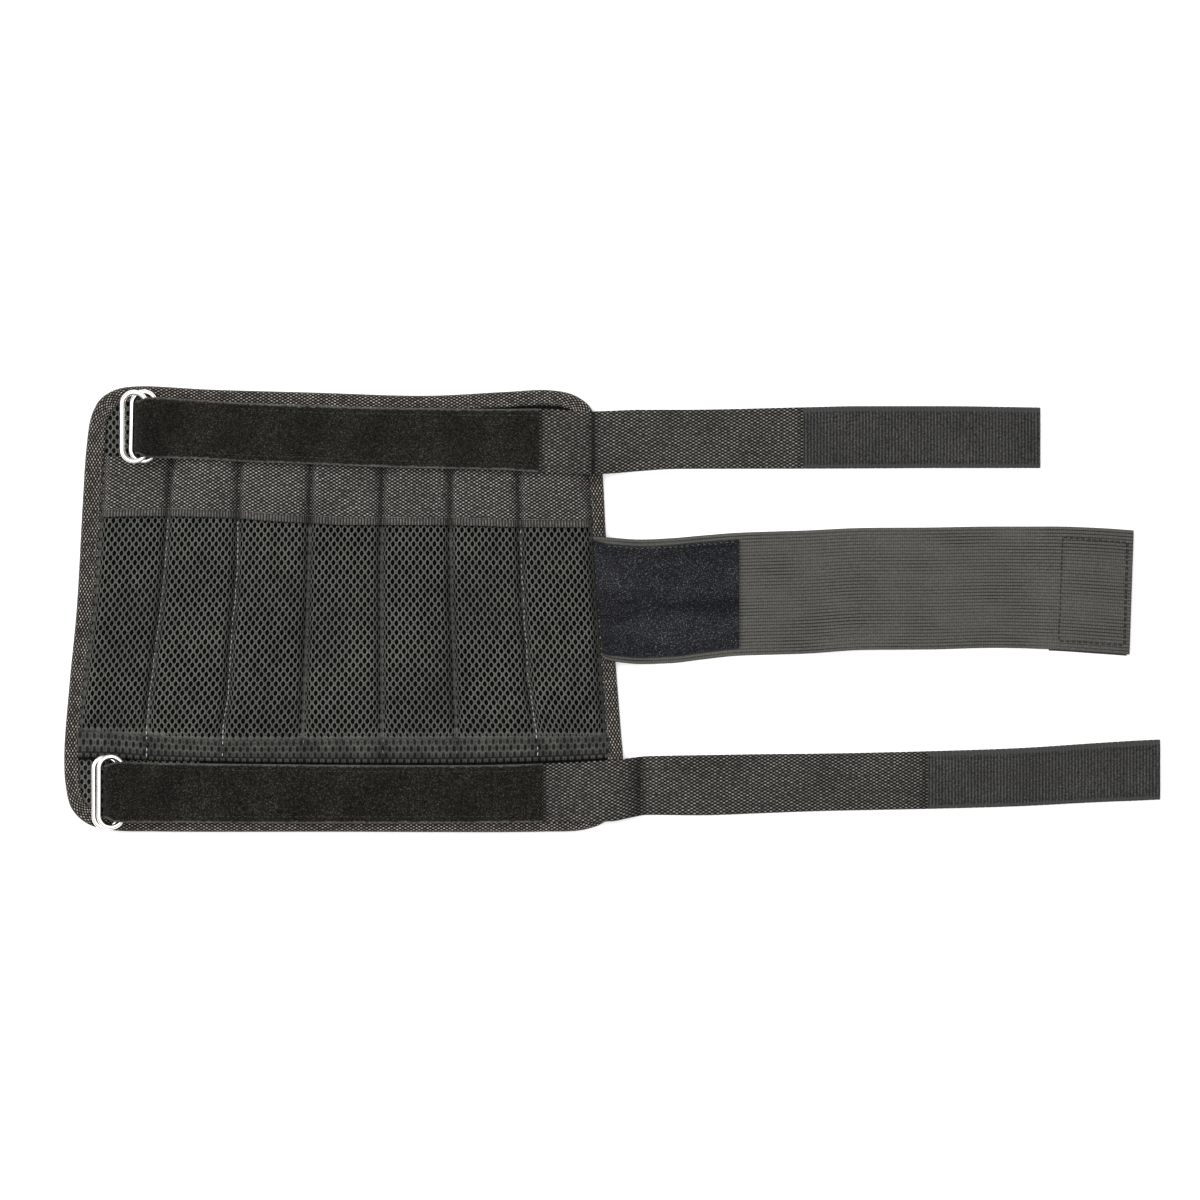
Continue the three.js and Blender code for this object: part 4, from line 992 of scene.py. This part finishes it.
def finish_sheet(pair, node):
    ob, long = pair
    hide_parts(*([node] if isinstance(node, str) else node))
    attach(ob, "root")
    return ob


def dip(x, at, wide):
    return np.exp(-((x - at) / wide) ** 2)


# Painted shade on the top strap: in the crease where it drops off the panel and beside the ends of the velvet and hook
# strips on it; painted light where it rises again, with random unevenness.
def top_tone(x, v):
    return (1 - 0.42 * dip(x, -9.8, 2.4) - 0.42 * dip(x, -9.6, 0.8) - 0.35 * dip(x, 93.6, 1.2) - 0.5 * dip(x, -35.6, 1.0)
            + 0.08 * waves(x, v, 51, 50) + 0.10 * dip(x, 2, 5))


# Painted shade on the bottom strap: in the crease where it drops off the panel and beside the ends of the velvet and
# hook strips on it; painted light where it rises again, with random unevenness.
def bottom_tone(x, v):
    return (1 - 0.38 * dip(x, 12.5, 4.0) - 0.22 * dip(x, 13.2, 1.3) + 0.26 * dip(x, 19.5, 2.5) - 0.35 * dip(x, 156.0, 1.2)
            - 0.5 * dip(x, -33.8, 1.0) + 0.08 * waves(x, v, 52, 50))


# painted shade: the velvet is darker over the fold at the rings, with random unevenness
def pile_tone(start):
    return lambda x, v: 0.72 + 0.28 * ease(x, start + 3, start + 16) + 0.12 * waves(x, v, 53, 35)


finish_sheet(strap("strap_top_web", strap_route("top", TOP_END, (-39, 96, 0.40)), TOP_EDGES, TOP_LAY, 0, WEB_T, 68,
                   SPUN["webbing"], relief=weave, tone=top_tone), ("strap_top_fold", "strap_top", "strap_top_tail"))
finish_sheet(strap("strap_bottom_web", strap_route("bottom", BOTTOM_END, (-37, 158, 0.44)), BOTTOM_EDGES, BOTTOM_LAY,
                   0, WEB_T, 64, SPUN["webbing"], relief=weave, width=30.0, tone=bottom_tone),
             ("strap_bottom_fold", "strap_bottom", "strap_bottom_tail"))


def nap(u, v):
    return 0.10 * waves(u, v, 31, 3.1, 9) + 0.06 * waves(u, v, 33, 1.6, 9)


finish_sheet(strap("loop_top", strap_route("top", -37.0, (-230, -37, 0.7), from_part="fold"), TOP_EDGES, TOP_LAY,
                   ON_WEB, PILE_T, 44, LOOP, relief=nap, edge_soft=1.8, tone=pile_tone(-236)), "loop_strip_top")
finish_sheet(strap("loop_bottom", strap_route("bottom", -35.2, (-245, -35, 0.7), from_part="fold"), BOTTOM_EDGES,
                   BOTTOM_LAY, ON_WEB, PILE_T, 44, LOOP, relief=nap, edge_soft=1.8, tone=pile_tone(-252)), "loop_strip_bottom")
finish_sheet(strap("hooks_top", strap_route(None, TOP_END, (95.2, 300, 0.7)), TOP_EDGES, TOP_LAY, ON_WEB, PILE_T, 44,
                   HOOK, trim=(0.3, 0.3), edge_soft=1.0), "hook_strip_top")
finish_sheet(strap("hooks_bottom", strap_route(None, BOTTOM_END, (157.6, 300, 0.7)), BOTTOM_EDGES, BOTTOM_LAY,
                   ON_WEB, PILE_T, 44, HOOK, trim=(0.3, 0.3), edge_soft=1.0), "hook_strip_bottom")

# ------------------------------------------------------------------- elastic
SKEW = (
    lambda x: mix(-2.1, 0, np.clip((x + 7.5) / 30, 0, 1)) + 0.7 * np.clip((x - 200) / 60, 0, 1),
    lambda x: mix(2.3, 0, np.clip((x + 7.5) / 30, 0, 1)) - 1.4 * np.clip((x - 200) / 60, 0, 1),
)


def rib(u, v):
    f = (v * RIBS / 61.0 + 0.5) % 1 - 0.5
    return 0.26 * (1 - (2 * f) ** 2) - 0.13 + 0.03 * np.cos(u * 2 * math.pi / 4.1)


finish_sheet(strap("elastic_web", strap_route(None, 259.9, (-7.5, 300, 1.0)), ELASTIC_EDGES, ELASTIC_LAY, 0, ELASTIC_T,
                   RIBS * 4, ELASTIC, relief=lambda u, v: -rib(u, v + 61 / RIBS / 2), skew=SKEW, width=61.0),
             "elastic_band")
patch_trim = (column(PATCH_IN[:, 0], PATCH_IN[:, 1]), column(PATCH_IN[:, 0], PATCH_IN[:, 2]))
finish_sheet(strap("navy_loop", strap_route(None, 63.2, (-7.5, 300, 0.7)), ELASTIC_EDGES, ELASTIC_LAY,
                   ELASTIC_T + 0.18, PATCH_T, 80, NAVY, trim=patch_trim, relief=nap,
                   skew=SKEW, width=57.0, edge_soft=1.5), "loop_patch")
finish_sheet(strap("hook_under", strap_route(None, 258.4, (218.6, 300, 1.0)), ELASTIC_EDGES,
                   np.array([(200, 0, 0), (270, 0, 0)]), 0.0, 1.0, 60, HOOK_WIDE, trim=(1.6, -0.7), skew=SKEW, width=60.0),
             "hook_patch")


# --------------------------------------------------------------------- rings
def ring(name, fold, cx, cy, level, turn):
    edges, lay = (TOP_EDGES, TOP_LAY) if fold == "top" else (BOTTOM_EDGES, BOTTOM_LAY)
    bend, half = (RING_W - WIRE_D) / 2, (RING_L - RING_W) / 2
    path = []
    for a in np.linspace(0, math.pi, 33):
        path.append((bend * math.cos(a), half + bend * math.sin(a)))
    path += [(-bend, y) for y in np.linspace(half, -half, 14)[1:-1]]
    for a in np.linspace(math.pi, 2 * math.pi, 33):
        path.append((bend * math.cos(a), -half + bend * math.sin(a)))
    path += [(bend, y) for y in np.linspace(-half, half, 14)[1:-1]]
    path = np.array(path)
    d = np.roll(path, -1, 0) - np.roll(path, 1, 0)
    d /= np.linalg.norm(d, axis=1)[:, None]
    side = np.stack([d[:, 1], -d[:, 0]], 1)
    m, n = 20, len(path)
    P = np.zeros((m, n, 3))
    for j in range(m):
        a = 2 * math.pi * j / m
        P[j, :, :2] = path + side * (WIRE_D / 2 * math.cos(a))
        P[j, :, 2] = WIRE_D / 2 * math.sin(a)
    width = edges[0, 1] - edges[0, 2]
    slope = math.atan((lay[0, 1] - lay[0, 2]) / width)
    r = math.radians(turn)
    x = P[..., 0] * math.cos(r) - P[..., 1] * math.sin(r)
    y = P[..., 0] * math.sin(r) + P[..., 1] * math.cos(r)
    z = P[..., 2]
    y, z = y * math.cos(slope) - z * math.sin(slope), y * math.sin(slope) + z * math.cos(slope)
    high = WEB_T + level * GAP + (level - 0.5) * WIRE_D
    z0 = mix(lay[0, 1], lay[0, 2], (edges[0, 1] - cy) / width) + high / math.cos(slope)
    P = np.stack([x + cx, y + cy, z + z0], -1)
    idx = np.arange(m * n).reshape(m, n)
    q = np.stack([idx, np.roll(idx, -1, 1), np.roll(np.roll(idx, -1, 0), -1, 1), np.roll(idx, -1, 0)], -1)
    ob = make(name + "_wire", P.reshape(-1, 3), q.reshape(-1, 4), material=CHROME)
    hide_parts(name)
    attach(ob, "root")


for row in RINGS:
    ring(*row)

# ------------------------------------------------------------------ stitches
def sewn(name, lines, material, radius=0.26, stitch=2.1, gap=0.7, seed=1, wander=0.12, sink=0.0):
    """Rows of sewing thread: a short arch for each stitch, its ends in the cloth.
    lines holds polylines of points in mm."""
    rng = np.random.default_rng(seed)
    P, Q, T = [], [], []
    shape = [(0.0, -0.30, 0.45), (0.16, 0.02, 0.9), (0.5, 0.20, 1.0), (0.84, 0.02, 0.9), (1.0, -0.30, 0.45)]
    for line in lines:
        line = np.asarray(line, float)
        run = np.concatenate([[0], np.cumsum(np.linalg.norm(np.diff(line, axis=0), axis=1))])
        count = max(1, int(run[-1] / (stitch + gap)))
        pitch = run[-1] / count
        for k in range(count):
            a, b = (k + 0.5) * pitch - stitch / 2, (k + 0.5) * pitch + stitch / 2
            ends = np.stack([[np.interp(q, run, line[:, i]) for i in range(3)] for q in (a, b)])
            along = ends[1] - ends[0]
            side = np.array([-along[1], along[0], 0]) / max(1e-6, math.hypot(along[0], along[1]))
            ends += side * rng.uniform(-wander, wander, (2, 1))
            ends[:, 2] -= sink * rng.uniform(0, 1) ** 2
            first = len(P)
            for t, h, r in shape:
                c = mix(ends[0], ends[1], t) + (0, 0, h * radius / 0.26)
                for j in range(6):
                    q = math.pi * j / 3
                    P.append(c + side * (radius * r * math.cos(q)) + np.array([0, 0, radius * r * math.sin(q)]))
            for i in range(4):
                for j in range(6):
                    l = (j + 1) % 6
                    Q.append((first + i * 6 + j, first + i * 6 + 6 + j, first + i * 6 + 6 + l, first + i * 6 + l))
            for j in range(1, 5):
                T.append((first, first + j, first + j + 1))
                T.append((first + 24, first + 24 + j + 1, first + 24 + j))
    ob = make(name, P, Q, T, material=material)
    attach(ob, "root")
    return ob


def over(edges, lay, x, y, high):
    """Points on a strap's face at x, y, with high the thickness under them."""
    x, y = np.broadcast_arrays(np.asarray(x, float), np.asarray(y, float))
    up, low = column(edges[:, 0], edges[:, 1])(x), column(edges[:, 0], edges[:, 2])(x)
    lu, ll = column(lay[:, 0], lay[:, 1])(x), column(lay[:, 0], lay[:, 2])(x)
    return np.stack([x, y, mix(lu, ll, (up - y) / (up - low)) + high], -1)


def row_at(edges, lay, x0, x1, inset, high, low_side=False):
    x = np.linspace(x0, x1, max(3, int(abs(x1 - x0) / 3)))
    edge = column(edges[:, 0], edges[:, 2 if low_side else 1])(x)
    return over(edges, lay, x, edge + inset if low_side else edge - inset, high)


def seam_line(k, y1):
    y = np.arange(float(MOUTH(SEAM[k](50.0))) - BAND_W - 0.8, y1, -1.5)
    return np.stack([SEAM[k](y) + 0.25 * waves(y, 0 * y, 60 + k, 25), y, np.full_like(y, 4.46)], -1)


sewn("thread_seams_pale", [seam_line(k, -75.0) for k in (0, 1, 5)], THREAD_PALE, radius=0.28, seed=3, wander=0.22, sink=0.75)
sewn("thread_seams_grey", [seam_line(k, -74.0) for k in (2, 3, 4)], THREAD_GREY, radius=0.28, seed=4, wander=0.25, sink=0.75)
u = np.linspace(1.0, CLOTH[-1] - 1.0, 600)
flat = drape(u, np.full(len(u), 45.0))[0][:, 0]
at_row = drape(u, MOUTH(flat) - BAND_W + 3.75, 0.95 + 0.84)[0]
sewn("thread_band", [at_row], THREAD_GREY, radius=0.20, stitch=1.9, seed=5, wander=0.06)
FACE = ON_WEB + PILE_T
rows = []
for edges, lay, x0, x1, upper, lower in ((TOP_EDGES, TOP_LAY, 97.8, 209.3, 2.8, 3.1), (BOTTOM_EDGES, BOTTOM_LAY, 164.8, 269.6, 4.0, 2.9)):
    top_row, low_row = (row_at(edges, lay, x0, x1, d, FACE, side) for d, side in ((upper, False), (lower, True)))
    rows += [top_row, low_row, np.stack([top_row[0], low_row[0]]), np.stack([top_row[-1], low_row[-1]])]
sewn("thread_hooks", rows, THREAD_DARK, radius=0.24, seed=6)
corners = [(225.0, 36.0), (256.9, 33.4), (255.4, -18.0), (223.0, -15.7)]
rows = []
for i, (a, b) in enumerate(zip(corners, corners[1:] + corners[:1])):
    for shift in ((0.0, 0.75) if i == 1 else (0.0,)):
        q = np.linspace(0, 1, 12)
        rows.append(over(ELASTIC_EDGES, ELASTIC_LAY, mix(a[0], b[0], q) + shift, mix(a[1], b[1], q), ELASTIC_T + 0.05))
sewn("thread_elastic", rows, THREAD_DARK, radius=0.27, stitch=2.3, gap=0.5, seed=7)
rows = []
for edges, lay, x0, x1 in ((TOP_EDGES, TOP_LAY, -203, -39), (BOTTOM_EDGES, BOTTOM_LAY, -216, -38)):
    rows += [row_at(edges, lay, x0, x1, 3.3, FACE - 0.12, side) for side in (False, True)]
sewn("thread_velvet", rows, thread("thread_faint", (0.010, 0.010, 0.009), (0.050, 0.049, 0.045)), radius=0.17, seed=8)
patch_row = row_at(ELASTIC_EDGES, ELASTIC_LAY, -3.0, 61.5, 4.6, ELASTIC_T + 0.18 + PATCH_T)
tick = over(ELASTIC_EDGES, ELASTIC_LAY, 57.2, np.linspace(-17.6, -22.6, 4), ELASTIC_T + 0.1)
sewn("thread_patch", [patch_row, tick], THREAD_GREY, radius=0.15, stitch=1.4, gap=1.4, seed=9, wander=0.35)
keep = np.append(np.arange(len(EDGE)), 0)
sewn("thread_binding", [np.column_stack([(EDGE + INWARD * (WIDE * 0.82)[:, None])[keep], np.full(len(keep), 4.26)])],
     THREAD_GREY, radius=0.17, stitch=1.7, gap=0.7, seed=10, wander=0.08)

# ---------------------------------------------------------------------- end
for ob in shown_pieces():
    ob.data.update()
